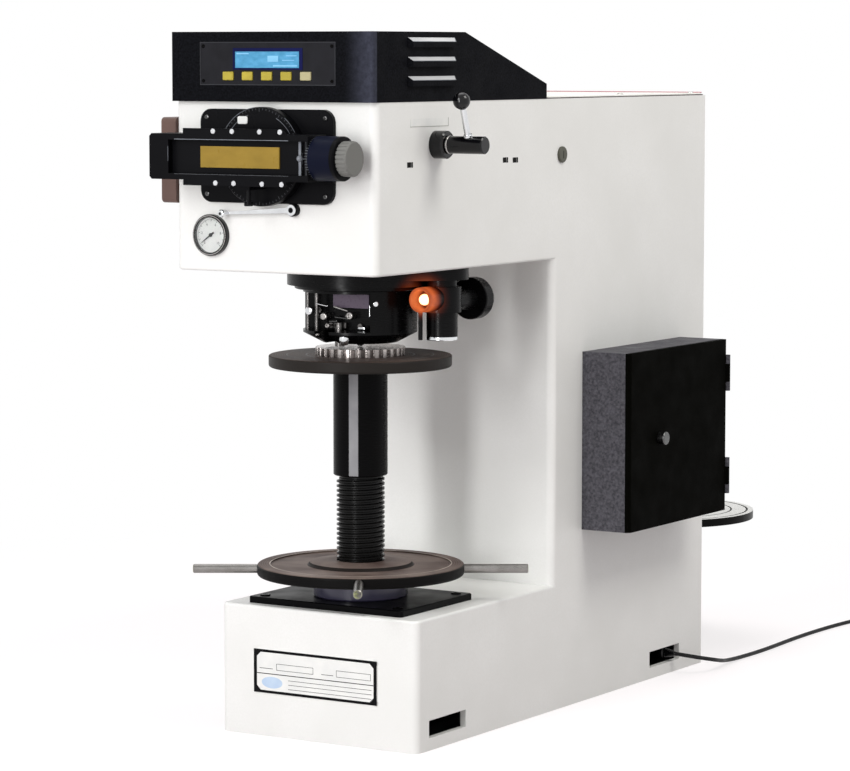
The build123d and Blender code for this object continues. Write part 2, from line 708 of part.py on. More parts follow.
HOUSING_MID = (HOUSING_LEFT + HOUSING_RIGHT) / 2
HOUSING_LENGTH = HOUSING_RIGHT - HOUSING_LEFT
RECESS_MID = (RECESS_LEFT + RECESS_RIGHT) / 2
RECESS_LENGTH = RECESS_RIGHT - RECESS_LEFT
with BuildPart() as screen_housing:
    with BuildSketch(facing_front(RING_FRONT)):
        with Locations((HOUSING_MID, SCREEN_Z)):
            Rectangle(HOUSING_LENGTH, HOUSING_HEIGHT)
    extrude(amount=HOUSING_THICK)
    chamfer(screen_housing.edges().filter_by(Axis.Y).group_by(Axis.X)[0], 3)
    with BuildSketch(facing_front(HOUSING_FRONT)):
        with Locations((RECESS_MID, SCREEN_Z)):
            Rectangle(RECESS_LENGTH, RECESS_HEIGHT)
    extrude(amount=-RECESS_DEPTH, mode=Mode.SUBTRACT)
    with BuildSketch(facing_front(HOUSING_FRONT + CLAMP_THICK)):
        with BuildLine():
            Polyline(
                (CLAMP_LEFT, SCREEN_Z + HOUSING_HEIGHT / 2),
                (CLAMP_LEFT, SCREEN_Z + HOUSING_HEIGHT / 2 + CLAMP_HEIGHT),
                (CLAMP_RIGHT - CLAMP_HEIGHT, SCREEN_Z + HOUSING_HEIGHT / 2 + CLAMP_HEIGHT),
                (CLAMP_RIGHT, SCREEN_Z + HOUSING_HEIGHT / 2),
                close=True,
            )
        make_face()
        with Locations(((CLAMP_LEFT + CLAMP_RIGHT) / 2, SCREEN_Z - HOUSING_HEIGHT / 2 - CLAMP_HEIGHT / 2)):
            Rectangle(CLAMP_RIGHT - CLAMP_LEFT, CLAMP_HEIGHT)
    extrude(amount=CLAMP_THICK)
    with BuildSketch(facing_right(HOUSING_RIGHT)):
        with Locations((DRUM_Y, SCREEN_Z)):
            Circle(DRUM_SHAFT_R + RUNNING_FIT)
    extrude(amount=-DRUM_SHAFT_DEPTH - AIR, mode=Mode.SUBTRACT)
    with BuildSketch(facing_front(RING_FRONT)):
        with Locations((CLAMP_SCREW_X, SCREEN_Z - HOUSING_HEIGHT / 2 - CLAMP_BLOCK / 2)):
            Rectangle(CLAMP_BLOCK_WIDTH, CLAMP_BLOCK)
    extrude(amount=HOUSING_THICK - 2 * CLAMP_THICK)
    with BuildSketch(level(SCREEN_Z - HOUSING_HEIGHT / 2 - CLAMP_BLOCK)):
        with Locations((CLAMP_SCREW_X, CLAMP_SCREW_Y)):
            Circle(CLAMP_SCREW_R + RUNNING_FIT)
    extrude(amount=CLAMP_BLOCK * 0.8, mode=Mode.SUBTRACT)
screen_housing.part.label = "screen_housing"
export_step(screen_housing.part, "parts/screen_housing.step")

with BuildPart() as screen_glass:
    with BuildSketch(facing_front(HOUSING_FRONT + RECESS_DEPTH)):
        with Locations(((GLASS_LEFT + GLASS_RIGHT) / 2, SCREEN_Z)):
            Rectangle(GLASS_RIGHT - GLASS_LEFT, GLASS_HEIGHT)
    extrude(amount=2)
screen_glass.part.label = "screen_glass"
export_step(screen_glass.part, "parts/screen_glass.step")

with BuildPart() as ring_clamp:
    with BuildSketch(level(SCREEN_Z - HOUSING_HEIGHT / 2 - CLAMP_BLOCK * 0.3)):
        with Locations((CLAMP_SCREW_X, CLAMP_SCREW_Y)):
            Circle(CLAMP_SCREW_R)
    extrude(amount=-CLAMP_BLOCK * 0.7 - CLAMP_REACH)
    with BuildSketch(level(SCREEN_Z - HOUSING_HEIGHT / 2 - CLAMP_BLOCK - CLAMP_REACH)):
        with Locations((CLAMP_SCREW_X, CLAMP_SCREW_Y)):
            Circle(CLAMP_KNOB_R)
    extrude(amount=-CLAMP_KNOB_R)
    fillet(ring_clamp.edges().filter_by(GeomType.CIRCLE).group_by(Axis.Z)[0], 1)
ring_clamp.part.label = "ring_clamp"
export_step(ring_clamp.part, "parts/ring_clamp.step")

with BuildPart() as micrometer_drum:
    with BuildSketch(facing_right(HOUSING_RIGHT + AIR)):
        with Locations((DRUM_Y, SCREEN_Z)):
            Circle(DRUM_R)
    extrude(amount=DRUM_LENGTH)
    chamfer(micrometer_drum.edges(), 1)
    with BuildSketch(facing_right(HOUSING_RIGHT + AIR + DRUM_LENGTH)):
        with Locations((DRUM_Y, SCREEN_Z)):
            Circle(DRUM_CAP_R)
    extrude(amount=DRUM_CAP)
    chamfer(micrometer_drum.faces().sort_by(Axis.X)[-1].edges(), 1.5)
    with BuildSketch(facing_right(HOUSING_RIGHT + AIR)):
        with Locations((DRUM_Y, SCREEN_Z)):
            Circle(DRUM_SHAFT_R)
    extrude(amount=-DRUM_SHAFT_DEPTH - AIR)
    with BuildSketch(facing_right(HOUSING_RIGHT + AIR + DRUM_LENGTH)):
        with Locations((DRUM_Y, SCREEN_Z)):
            with PolarLocations(DRUM_CAP_R, 24):
                Circle(0.9)
    extrude(amount=DRUM_CAP, mode=Mode.SUBTRACT)
micrometer_drum.part.label = "micrometer_drum"
export_step(micrometer_drum.part, "parts/micrometer_drum.step")

with BuildPart() as measuring_index:
    with BuildSketch(facing_front(HOUSING_FRONT + RECESS_DEPTH - 2 - AIR)):
        with Locations((INDEX_X, SCREEN_Z)):
            Rectangle(INDEX_WIDTH, RECESS_HEIGHT - 2 * AIR)
    extrude(amount=INDEX_THICK)
    with BuildSketch(facing_front(HOUSING_FRONT + RECESS_DEPTH - AIR)):
        with Locations((INDEX_X, SCREEN_Z)):
            Rectangle(INDEX_WIDTH, RECESS_HEIGHT / 3)
    extrude(amount=2)
    with Locations((INDEX_X, HOUSING_FRONT + RECESS_DEPTH - 2 - AIR - INDEX_THICK, SCREEN_Z)):
        Sphere(INDEX_KNOB_R)
measuring_index.part.label = "measuring_index"
export_step(measuring_index.part, "parts/measuring_index.step")


# ==================================================================================================
# Fittings on the head: gauge, load lever, plug and selector
# ==================================================================================================
GAUGE_FRONT = HEAD_FRONT - GAUGE_PROUD
GAUGE_WINDOW_R = GAUGE_R - 3.5
DIAL_Y = GAUGE_FRONT + 4.6
with BuildPart() as gauge_case:
    with BuildSketch(facing_front(HEAD_FRONT)):
        with Locations((GAUGE_X, GAUGE_Z)):
            Circle(GAUGE_R)
    extrude(amount=GAUGE_PROUD)
    chamfer(gauge_case.faces().sort_by(Axis.Y)[0].edges(), 1)
    with BuildSketch(facing_front(HEAD_FRONT)):
        with Locations((GAUGE_X, GAUGE_Z)):
            Circle(GAUGE_BODY_R)
    extrude(amount=GAUGE_PROUD - GAUGE_DEPTH)
    with BuildSketch(facing_front(GAUGE_FRONT)):
        with Locations((GAUGE_X, GAUGE_Z)):
            Circle(GAUGE_WINDOW_R)
    extrude(amount=GAUGE_FRONT - DIAL_Y, mode=Mode.SUBTRACT)
    with BuildSketch(facing_front(DIAL_Y)):
        with Locations((GAUGE_X, GAUGE_Z)):
            Circle(POINTER_SHAFT_R + RUNNING_FIT)
    extrude(amount=-POINTER_SHAFT_DEPTH - AIR, mode=Mode.SUBTRACT)
gauge_case.part.label = "gauge_case"
export_step(gauge_case.part, "parts/gauge_case.step")

with BuildPart() as gauge_glass:
    with BuildSketch(facing_front(GAUGE_FRONT + 1.2)):
        with Locations((GAUGE_X, GAUGE_Z)):
            Circle(GAUGE_WINDOW_R)
    extrude(amount=1)
gauge_glass.part.label = "gauge_glass"
export_step(gauge_glass.part, "parts/gauge_glass.step")

pointer_plane = Plane(
    origin=(GAUGE_X, DIAL_Y - 1.2, GAUGE_Z),
    x_dir=(cos(radians(POINTER_REST)), 0, sin(radians(POINTER_REST))),
    z_dir=(0, -1, 0),
)
with BuildPart() as gauge_pointer:
    with BuildSketch(pointer_plane):
        with BuildLine():
            Polyline(
                (-5, 1.1),
                (0, 0.9),
                (POINTER_REACH, 0.3),
                (POINTER_REACH, -0.3),
                (0, -0.9),
                (-5, -1.1),
                close=True,
            )
        make_face()
        Circle(2.2)
    extrude(amount=0.7)
    with BuildSketch(pointer_plane):
        Circle(POINTER_SHAFT_R)
    extrude(amount=-1.2 - POINTER_SHAFT_DEPTH)
gauge_pointer.part.label = "gauge_pointer"
export_step(gauge_pointer.part, "parts/gauge_pointer.step")

with BuildPart() as lever_boss:
    with BuildSketch(facing_right(HALF)):
        with Locations((LEVER_Y, LEVER_Z)):
            Circle(BOSS_R)
    extrude(amount=BOSS_LENGTH)
    chamfer(lever_boss.faces().sort_by(Axis.X)[-1].edges(), 1.5)
    with BuildSketch(facing_right(HALF)):
        with Locations((LEVER_Y, LEVER_Z)):
            Circle(SLEEVE_R)
    extrude(amount=-WALL - 4)
    with BuildSketch(facing_right(HALF + BOSS_LENGTH)):
        with Locations((LEVER_Y, LEVER_Z)):
            Circle(LEVER_SHAFT_R + RUNNING_FIT)
    extrude(amount=-BOSS_LENGTH - WALL - 4, mode=Mode.SUBTRACT)
lever_boss.part.label = "lever_boss"
export_step(lever_boss.part, "parts/lever_boss.step")

HANDLE_DIRECTION = (0, -sin(radians(HANDLE_LEAN)), cos(radians(HANDLE_LEAN)))
with BuildPart() as load_lever:
    with BuildSketch(facing_right(LEVER_SHAFT_END)):
        with Locations((LEVER_Y, LEVER_Z)):
            Circle(LEVER_SHAFT_R)
    extrude(amount=HALF + BOSS_LENGTH + AIR - LEVER_SHAFT_END)
    with BuildSketch(facing_right(HALF + BOSS_LENGTH + AIR)):
        with Locations((LEVER_Y, LEVER_Z)):
            Circle(HUB_R)
    extrude(amount=HUB_LENGTH - BOSS_LENGTH)
    chamfer(load_lever.faces().sort_by(Axis.X)[-1].edges(), 1)
    with BuildSketch(Plane(origin=(HALF + HANDLE_OFFSET, LEVER_Y, LEVER_Z), z_dir=HANDLE_DIRECTION)):
        Circle(HANDLE_R)
    extrude(amount=HANDLE_LENGTH)
load_lever.part.label = "load_lever"
export_step(load_lever.part, "parts/load_lever.step")

BALL_CENTRE = (
    HALF + HANDLE_OFFSET,
    LEVER_Y + HANDLE_LENGTH * HANDLE_DIRECTION[1],
    LEVER_Z + HANDLE_LENGTH * HANDLE_DIRECTION[2],
)
with BuildPart() as load_lever_ball:
    with Locations(BALL_CENTRE):
        Sphere(BALL_R)
    with BuildSketch(Plane(origin=BALL_CENTRE, z_dir=HANDLE_DIRECTION)):
        Circle(HANDLE_R)
    extrude(amount=-2 * BALL_R, mode=Mode.SUBTRACT)
load_lever_ball.part.label = "load_lever_ball"
export_step(load_lever_ball.part, "parts/load_lever_ball.step")

with BuildPart() as side_plug:
    with BuildSketch(facing_right(HALF)):
        with Locations((PLUG_Y, PLUG_Z)):
            Circle(PLUG_R)
    extrude(amount=3)
    fillet(side_plug.faces().sort_by(Axis.X)[-1].edges(), 1.4)
    with BuildSketch(facing_right(HALF)):
        with Locations((PLUG_Y, PLUG_Z)):
            Circle(PLUG_STEM_R)
    extrude(amount=-WALL - 1)
side_plug.part.label = "side_plug"
export_step(side_plug.part, "parts/side_plug.step")

with BuildPart() as selector_housing:
    with BuildSketch(facing_right(-HALF)):
        with Locations((HEAD_FRONT + SELECTOR_DEPTH / 2, SELECTOR_Z)):
            RectangleRounded(SELECTOR_DEPTH, SELECTOR_HEIGHT, 5)
    extrude(amount=-SELECTOR_THICK)
    fillet(selector_housing.faces().sort_by(Axis.X)[0].edges(), 2)
    with BuildSketch(facing_right(-HALF)):
        with Locations((SELECTOR_Y, SELECTOR_Z)):
            Circle(SELECTOR_SHAFT_R + RUNNING_FIT)
    extrude(amount=-SELECTOR_THICK, mode=Mode.SUBTRACT)
selector_housing.part.label = "selector_housing"
export_step(selector_housing.part, "parts/selector_housing.step")

SELECTOR_FACE = -HALF - SELECTOR_THICK - AIR
with BuildPart() as selector_knob:
    with BuildSketch(facing_right(SELECTOR_FACE)):
        with Locations((SELECTOR_Y, SELECTOR_Z)):
            Circle(SELECTOR_KNOB_R)
            with PolarLocations(SELECTOR_KNOB_R + 2.2, 8):
                Circle(4, mode=Mode.SUBTRACT)
    extrude(amount=-SELECTOR_KNOB_LENGTH)
    chamfer(selector_knob.faces().sort_by(Axis.X)[0].edges(), 1)
    with BuildSketch(facing_right(SELECTOR_FACE)):
        with Locations((SELECTOR_Y, SELECTOR_Z)):
            Circle(SELECTOR_SHAFT_R)
    extrude(amount=SELECTOR_THICK + AIR + WALL + 12)
selector_knob.part.label = "selector_knob"
export_step(selector_knob.part, "parts/selector_knob.step")


# ==================================================================================================
# Elevating screw, table, anvil and handwheel
# ==================================================================================================
with BuildPart() as base_flange:
    with BuildSketch(level(BASE_HEIGHT)):
        RectangleRounded(FLANGE_LENGTH, FLANGE_DEPTH, 4)
        Circle(THREAD_R + 4, mode=Mode.SUBTRACT)
    extrude(amount=FLANGE_THICK)
    chamfer(base_flange.faces().sort_by(Axis.Z)[-1].outer_wire().edges(), 1)
base_flange.part.label = "base_flange"
export_step(base_flange.part, "parts/base_flange.step")

with BuildPart() as bearing_housing:
    with BuildSketch(level(FLANGE_TOP)):
        Circle(BEARING_R)
        Circle(THREAD_R + 1.5, mode=Mode.SUBTRACT)
    extrude(amount=WHEEL_BOTTOM - AIR - FLANGE_TOP)
    with BuildSketch(level(FLANGE_TOP + BEARING_RING)):
        Circle(NUT_R + RUNNING_FIT)
    extrude(amount=WHEEL_BOTTOM - FLANGE_TOP, mode=Mode.SUBTRACT)
    chamfer(bearing_housing.edges().filter_by(GeomType.CIRCLE).group_by(SortBy.RADIUS)[-1], 1.5)
bearing_housing.part.label = "bearing_housing"
export_step(bearing_housing.part, "parts/bearing_housing.step")

with BuildPart() as handwheel:
    with BuildSketch(Plane.XZ):
        with BuildLine():
            Polyline(
                (THREAD_R + RUNNING_FIT, FLANGE_TOP + BEARING_RING + AIR),
                (NUT_R, FLANGE_TOP + BEARING_RING + AIR),
                (NUT_R, WHEEL_BOTTOM),
                (HUB_FLANGE_R, WHEEL_BOTTOM),
                (HUB_FLANGE_R + 3, WHEEL_BOTTOM + 3),
                (WHEEL_R - RIM_WIDTH - 3, WHEEL_BOTTOM + 3),
                (WHEEL_R - RIM_WIDTH, WHEEL_BOTTOM),
                (WHEEL_R, WHEEL_BOTTOM),
                (WHEEL_R, WHEEL_TOP),
                (WHEEL_R - RIM_WIDTH, WHEEL_TOP),
                (WHEEL_R - RIM_WIDTH - 2, WHEEL_TOP - 1.5),
                (HUB_FLANGE_R + 3, WHEEL_TOP - 1.5),
                (HUB_FLANGE_R, WHEEL_TOP + 2),
                (NUT_R, WHEEL_TOP + 4),
                (THREAD_R + RUNNING_FIT, WHEEL_TOP + 4),
                close=True,
            )
        make_face()
    revolve(axis=Axis.Z)
    fillet(handwheel.edges().filter_by(GeomType.CIRCLE).group_by(SortBy.RADIUS)[-1], 3)
    for quarter in range(4):
        turn = radians(ROD_TURN + 90 * quarter)
        outward = (cos(turn), sin(turn), 0)
        at_rim = (WHEEL_R * cos(turn), WHEEL_R * sin(turn), WHEEL_BOTTOM + WHEEL_THICK / 2)
        with BuildSketch(Plane(origin=at_rim, z_dir=outward)):
            Circle(ROD_R)
        extrude(amount=-ROD_SOCKET, mode=Mode.SUBTRACT)
handwheel.part.label = "handwheel"
export_step(handwheel.part, "parts/handwheel.step")

with BuildPart() as handwheel_rods:
    for quarter in range(4):
        turn = radians(ROD_TURN + 90 * quarter)
        outward = (cos(turn), sin(turn), 0)
        inner = WHEEL_R - ROD_SOCKET
        at_socket = (inner * cos(turn), inner * sin(turn), WHEEL_BOTTOM + WHEEL_THICK / 2)
        with BuildSketch(Plane(origin=at_socket, z_dir=outward)):
            Circle(ROD_R)
        extrude(amount=ROD_REACH - inner)
    rod_tips = handwheel_rods.edges().filter_by(GeomType.CIRCLE)
    chamfer(rod_tips.filter_by(lambda edge: edge.arc_center.length > WHEEL_R), 1)
handwheel_rods.part.label = "handwheel_rods"
export_step(handwheel_rods.part, "parts/handwheel_rods.step")

with BuildPart() as elevating_screw:
    with BuildSketch(level(THREAD_BOTTOM)):
        Circle(THREAD_R)
    extrude(amount=SHANK_BOTTOM - THREAD_BOTTOM)
    chamfer(elevating_screw.edges().group_by(Axis.Z)[0], 2)
    with BuildSketch(level(SHANK_BOTTOM)):
        Circle(SHANK_R)
    extrude(amount=TABLE_BOTTOM - SHANK_BOTTOM)
    widest_rims = elevating_screw.edges().filter_by(GeomType.CIRCLE).group_by(SortBy.RADIUS)[-1]
    chamfer(widest_rims.sort_by(Axis.Z)[0], 1)
    with BuildSketch(level(TABLE_BOTTOM)):
        Circle(SPIGOT_R)
    extrude(amount=SPIGOT)
elevating_screw.part.label = "elevating_screw"
export_step(elevating_screw.part, "parts/elevating_screw.step")

with BuildPart() as work_table:
    with BuildSketch(level(TABLE_BOTTOM)):
        Circle(TABLE_R)
    extrude(amount=TABLE_THICK)
    fillet(work_table.edges().group_by(Axis.Z)[-1], 2)
    fillet(work_table.edges().group_by(Axis.Z)[0], 3)
    with BuildSketch(level(TABLE_BOTTOM)):
        Circle(SPIGOT_R)
    extrude(amount=SPIGOT, mode=Mode.SUBTRACT)
    with BuildSketch(level(TABLE_TOP)):
        Circle(ANVIL_PIN_R)
    extrude(amount=-ANVIL_PIN, mode=Mode.SUBTRACT)
work_table.part.label = "work_table"
export_step(work_table.part, "parts/work_table.step")

with BuildPart() as anvil:
    with BuildSketch(level(TABLE_TOP)):
        Circle(ANVIL_R)
        with PolarLocations(ANVIL_R, ANVIL_FLUTES):
            Circle(FLUTE_R, mode=Mode.SUBTRACT)
    extrude(amount=ANVIL_THICK)
    with BuildSketch(level(TABLE_TOP)):
        Circle(ANVIL_PIN_R)
    extrude(amount=-ANVIL_PIN)
anvil.part.label = "anvil"
export_step(anvil.part, "parts/anvil.step")


# ==================================================================================================
# Turret: swings between the indenter and the measuring objective
# ==================================================================================================
SWING_PLATE_BOTTOM = SWING_PLATE_TOP - SWING_PLATE_THICK
SWING_R = (PIVOT_X**2 + PIVOT_Y**2) ** 0.5
swing_turn = radians(SWING)
OBJECTIVE_X = PIVOT_X - PIVOT_X * cos(swing_turn) + PIVOT_Y * sin(swing_turn)
OBJECTIVE_Y = PIVOT_Y - PIVOT_X * sin(swing_turn) - PIVOT_Y * cos(swing_turn)

with BuildPart() as turret_post:
    with BuildSketch(level(HEAD_BOTTOM)):
        with Locations((PIVOT_X, PIVOT_Y)):
            Circle(POST_R)
    extrude(amount=SWING_PLATE_BOTTOM - AIR - HEAD_BOTTOM)
    with BuildSketch(level(SWING_PLATE_BOTTOM - AIR)):
        with Locations((PIVOT_X, PIVOT_Y)):
            Circle(POST_R + 10)
    extrude(amount=-POST_COLLAR)
    chamfer(turret_post.faces().sort_by(Axis.Z)[0].edges(), 2)
turret_post.part.label = "turret_post"
export_step(turret_post.part, "parts/turret_post.step")

with BuildPart() as swing_plate:
    with BuildSketch(level(SWING_PLATE_TOP)):
        Circle(FLANGE_R)
        with Locations((PIVOT_X, PIVOT_Y)):
            Circle(POST_R + 20)
        with Locations((OBJECTIVE_X, OBJECTIVE_Y)):
            Circle(PRISM_R + 8)
        make_hull()
        with Locations((PIVOT_X, PIVOT_Y)):
            Circle(POST_R + RUNNING_FIT, mode=Mode.SUBTRACT)
    extrude(amount=-SWING_PLATE_THICK)
    with BuildSketch(level(SWING_PLATE_BOTTOM)):
        Circle(FLANGE_R)
    extrude(amount=FLANGE_STEP_Z - SWING_PLATE_BOTTOM)
    with BuildSketch(level(FLANGE_STEP_Z)):
        Circle(STEP_R)
    extrude(amount=BLOCK_TOP - FLANGE_STEP_Z)
    chamfer(swing_plate.edges().filter_by(GeomType.CIRCLE).group_by(Axis.Z)[0], 0.8)
    with BuildSketch(level(SWING_PLATE_TOP)):
        Circle(SPINDLE_R + RUNNING_FIT)
    extrude(amount=BLOCK_TOP - SWING_PLATE_TOP, mode=Mode.SUBTRACT)
swing_plate.part.label = "swing_plate"
export_step(swing_plate.part, "parts/swing_plate.step")

with BuildPart() as indenter_block:
    with BuildSketch(Plane.XZ):
        with BuildLine():
            Polyline(
                (SPINDLE_R + RUNNING_FIT, BLOCK_BOTTOM),
                (BLOCK_NOSE_R, BLOCK_BOTTOM),
                (BLOCK_R, BLOCK_SHOULDER),
                (BLOCK_R, BLOCK_TOP),
                (SPINDLE_R + RUNNING_FIT, BLOCK_TOP),
                close=True,
            )
        make_face()
    revolve(axis=Axis.Z)
    with BuildSketch(facing_front(-BLOCK_R - 5)):
        with Locations(((WINDOW_RIGHT - BLOCK_R - 5) / 2, (WINDOW_BOTTOM + WINDOW_TOP) / 2)):
            Rectangle(WINDOW_RIGHT + BLOCK_R + 5, WINDOW_TOP - WINDOW_BOTTOM)
    extrude(amount=-BLOCK_R - 5 - WINDOW_BACK_Y, mode=Mode.SUBTRACT)
    with BuildSketch(level(BLOCK_BOTTOM)):
        with Locations((FOOT_X, FOOT_Y + FOOT_R + 2)):
            Rectangle(4 * FOOT_R, BLOCK_R, align=(Align.CENTER, Align.MAX))
    extrude(amount=WINDOW_BOTTOM - BLOCK_BOTTOM, mode=Mode.SUBTRACT)
indenter_block.part.label = "indenter_block"
export_step(indenter_block.part, "parts/indenter_block.step")

BLOCK_SCREWS = [
    (-52.9, WINDOW_TOP - 23.1),
    (-40.8, WINDOW_TOP - 22.0),
    (-3.1, WINDOW_TOP - 29.0),
    (-24.6, WINDOW_TOP - 38.5),
    (14.4, WINDOW_TOP - 38.5),
]
with BuildPart() as block_fittings:
    with BuildSketch(facing_front(WINDOW_BACK_Y)):
        with Locations((FACE_X, WINDOW_TOP - 0.5 - FACE_HEIGHT / 2)):
            RectangleRounded(FACE_LENGTH, FACE_HEIGHT, 2)
    extrude(amount=4)
    with BuildSketch(facing_front(WINDOW_BACK_Y)):
        with Locations(*BLOCK_SCREWS):
            Circle(3)
    extrude(amount=3)
    with BuildSketch(level(FOOT_BOTTOM)):
        with Locations((FOOT_X, FOOT_Y)):
            Circle(FOOT_R)
    extrude(amount=WINDOW_BOTTOM + 8 - FOOT_BOTTOM)
    with BuildSketch(facing_front(WINDOW_BACK_Y)):
        with Locations((FOOT_X, WINDOW_BOTTOM + 5)):
            Rectangle(3 * FOOT_R, 6)
    extrude(amount=FOOT_R)
    with BuildSketch(level(WINDOW_BOTTOM)):
        with Locations((-50, WINDOW_BACK_Y - 12), (-38, WINDOW_BACK_Y - 12)):
            Circle(2.2)
    extrude(amount=WINDOW_TOP - WINDOW_BOTTOM)
block_fittings.part.label = "block_fittings"
export_step(block_fittings.part, "parts/block_fittings.step")

with BuildPart() as objective_housing:
    with BuildSketch(level(PRISM_BOTTOM)):
        with Locations((OBJECTIVE_X, OBJECTIVE_Y)):
            Circle(PRISM_R)
    extrude(amount=FLANGE_STEP_Z - AIR - PRISM_BOTTOM)
    with BuildSketch(level(FLANGE_STEP_Z - AIR)):
        with Locations((OBJECTIVE_X, OBJECTIVE_Y)):
            Circle(PRISM_R - 5)
    extrude(amount=SWING_PLATE_BOTTOM - FLANGE_STEP_Z + AIR)
    with BuildSketch(level(PRISM_BOTTOM)):
        with Locations((OBJECTIVE_X, OBJECTIVE_Y)):
            Circle(OBJECTIVE_R)
    extrude(amount=LENS_BOTTOM + LENS_CELL - PRISM_BOTTOM)
    with BuildSketch(facing_front(OBJECTIVE_Y)):
        with Locations((OBJECTIVE_X, ILLUMINATOR_Z)):
            Circle(ILLUMINATOR_NECK_R)
    extrude(amount=OBJECTIVE_Y - ILLUMINATOR_Y)
    with BuildSketch(facing_front(ILLUMINATOR_Y)):
        with Locations((OBJECTIVE_X, ILLUMINATOR_Z)):
            Circle(ILLUMINATOR_R)
    extrude(amount=-ILLUMINATOR_LENGTH)
    chamfer(objective_housing.edges().filter_by(GeomType.CIRCLE).group_by(SortBy.RADIUS)[-1], 1)
objective_housing.part.label = "objective_housing"
export_step(objective_housing.part, "parts/objective_housing.step")

with BuildPart() as objective_lens:
    with BuildSketch(level(LENS_BOTTOM)):
        with Locations((OBJECTIVE_X, OBJECTIVE_Y)):
            Circle(OBJECTIVE_R + 0.6)
    extrude(amount=LENS_CELL)
    chamfer(objective_lens.faces().sort_by(Axis.Z)[0].edges(), 0.8)
    with BuildSketch(level(LENS_BOTTOM)):
        with Locations((OBJECTIVE_X, OBJECTIVE_Y)):
            Circle(OBJECTIVE_R - 6)
    extrude(amount=LENS_CELL / 4, mode=Mode.SUBTRACT)
objective_lens.part.label = "objective_lens"
export_step(objective_lens.part, "parts/objective_lens.step")

LAMP_FRONT = OBJECTIVE_Y - PRISM_R - LAMP_LENGTH
with BuildPart() as lamp_housing:
    with BuildSketch(facing_front(LAMP_FRONT)):
        with Locations((OBJECTIVE_X, LAMP_Z)):
            Circle(LAMP_R)
    extrude(amount=-LAMP_LENGTH - 4)
    with BuildSketch(level(LENS_BOTTOM + 2)):
        with Locations((OBJECTIVE_X - LAMP_R / 2, LAMP_FRONT + LAMP_LENGTH / 2)):
            Circle(GUIDE_R)
    extrude(amount=LAMP_Z - LENS_BOTTOM - 2)
    with BuildSketch(facing_front(LAMP_FRONT)):
        with Locations((OBJECTIVE_X, LAMP_Z)):
            Circle(LAMP_R - LAMP_WALL)
    extrude(amount=4 - LAMP_LENGTH, mode=Mode.SUBTRACT)
    with BuildSketch(level(PRISM_BOTTOM)):
        with Locations((OBJECTIVE_X, OBJECTIVE_Y)):
            Circle(PRISM_R)
    extrude(amount=SWING_PLATE_BOTTOM - PRISM_BOTTOM, mode=Mode.SUBTRACT)
lamp_housing.part.label = "lamp_housing"
export_step(lamp_housing.part, "parts/lamp_housing.step")

with BuildPart() as lamp_bulb:
    with BuildSketch(facing_front(LAMP_FRONT + LAMP_LENGTH - 4)):
        with Locations((OBJECTIVE_X, LAMP_Z)):
            Circle(BULB_R * 0.7)
    extrude(amount=BULB_R)
    with Locations((OBJECTIVE_X, LAMP_FRONT + LAMP_LENGTH - 4 - 1.8 * BULB_R, LAMP_Z)):
        Sphere(BULB_R)
lamp_bulb.part.label = "lamp_bulb"
export_step(lamp_bulb.part, "parts/lamp_bulb.step")

with BuildPart() as indenter_holder:
    with BuildSketch(Plane.XZ):
        with BuildLine():
            Polyline(
                (0, SPINDLE_TOP),
                (SPINDLE_R - 1, SPINDLE_TOP),
                (SPINDLE_R, SPINDLE_TOP - 1),
                (SPINDLE_R, SPINDLE_TAPER),
                (SPINDLE_R - 2, BALL_SEAT),
                (0, BALL_SEAT),
                close=True,
            )
        make_face()
    revolve(axis=Axis.Z)
    with Locations((0, 0, ANVIL_TOP + AIR + INDENTER_BALL_R)):
        Sphere(INDENTER_BALL_R)
indenter_holder.part.label = "indenter_holder"
export_step(indenter_holder.part, "parts/indenter_holder.step")


# ==================================================================================================
# Load train: thrust rod, main lever, hanger with its pan, and the lifting drive in the column
# ==================================================================================================
THRUST_TOP = BEAM_BOTTOM - AIR
with BuildPart() as thrust_rod:
    with BuildSketch(level(HEAD_BOTTOM - 0.1)):
        Circle(THRUST_R)
    extrude(amount=THRUST_TOP - HEAD_BOTTOM + 0.1)
    chamfer(thrust_rod.faces().sort_by(Axis.Z)[-1].edges(), THRUST_R / 2)
thrust_rod.part.label = "thrust_rod"
export_step(thrust_rod.part, "parts/thrust_rod.step")

FLOOR_TOP = HEAD_BOTTOM + WALL
with BuildPart() as lever_mounts:
    with BuildSketch(level(FLOOR_TOP)):
        with Locations((0, FULCRUM_Y / 2)):
            RectangleRounded(MOUNT_WIDTH, MOUNT_LENGTH, 6)
    extrude(amount=MOUNT_THICK)
    with BuildSketch(level(HEAD_BOTTOM)):
        Circle(BUSH_R)
    extrude(amount=BUSH_HEIGHT)
    with BuildSketch(facing_right(BEAM_WIDTH / 2 + LEVER_GAP)):
        with BuildLine():
            Polyline(
                (FULCRUM_Y - CHEEK_FOOT, FLOOR_TOP + MOUNT_THICK / 2),
                (FULCRUM_Y + CHEEK_FOOT, FLOOR_TOP + MOUNT_THICK / 2),
                (FULCRUM_Y + CHEEK_R, BEAM_MID),
                (FULCRUM_Y - CHEEK_R, BEAM_MID),
                close=True,
            )
        make_face()
        with Locations((FULCRUM_Y, BEAM_MID)):
            Circle(CHEEK_R)
    extrude(amount=MOUNT_THICK)
    mirror(about=Plane.YZ)
    with BuildSketch(facing_right(-BEAM_WIDTH / 2 - LEVER_GAP)):
        with Locations((FULCRUM_Y, BEAM_MID)):
            Circle(FULCRUM_R)
    extrude(amount=BEAM_WIDTH + 2 * LEVER_GAP)
    with BuildSketch(level(HEAD_BOTTOM)):
        Circle(THRUST_R + RUNNING_FIT)
    extrude(amount=BUSH_HEIGHT + WALL, mode=Mode.SUBTRACT)
lever_mounts.part.label = "lever_mounts"
export_step(lever_mounts.part, "parts/lever_mounts.step")

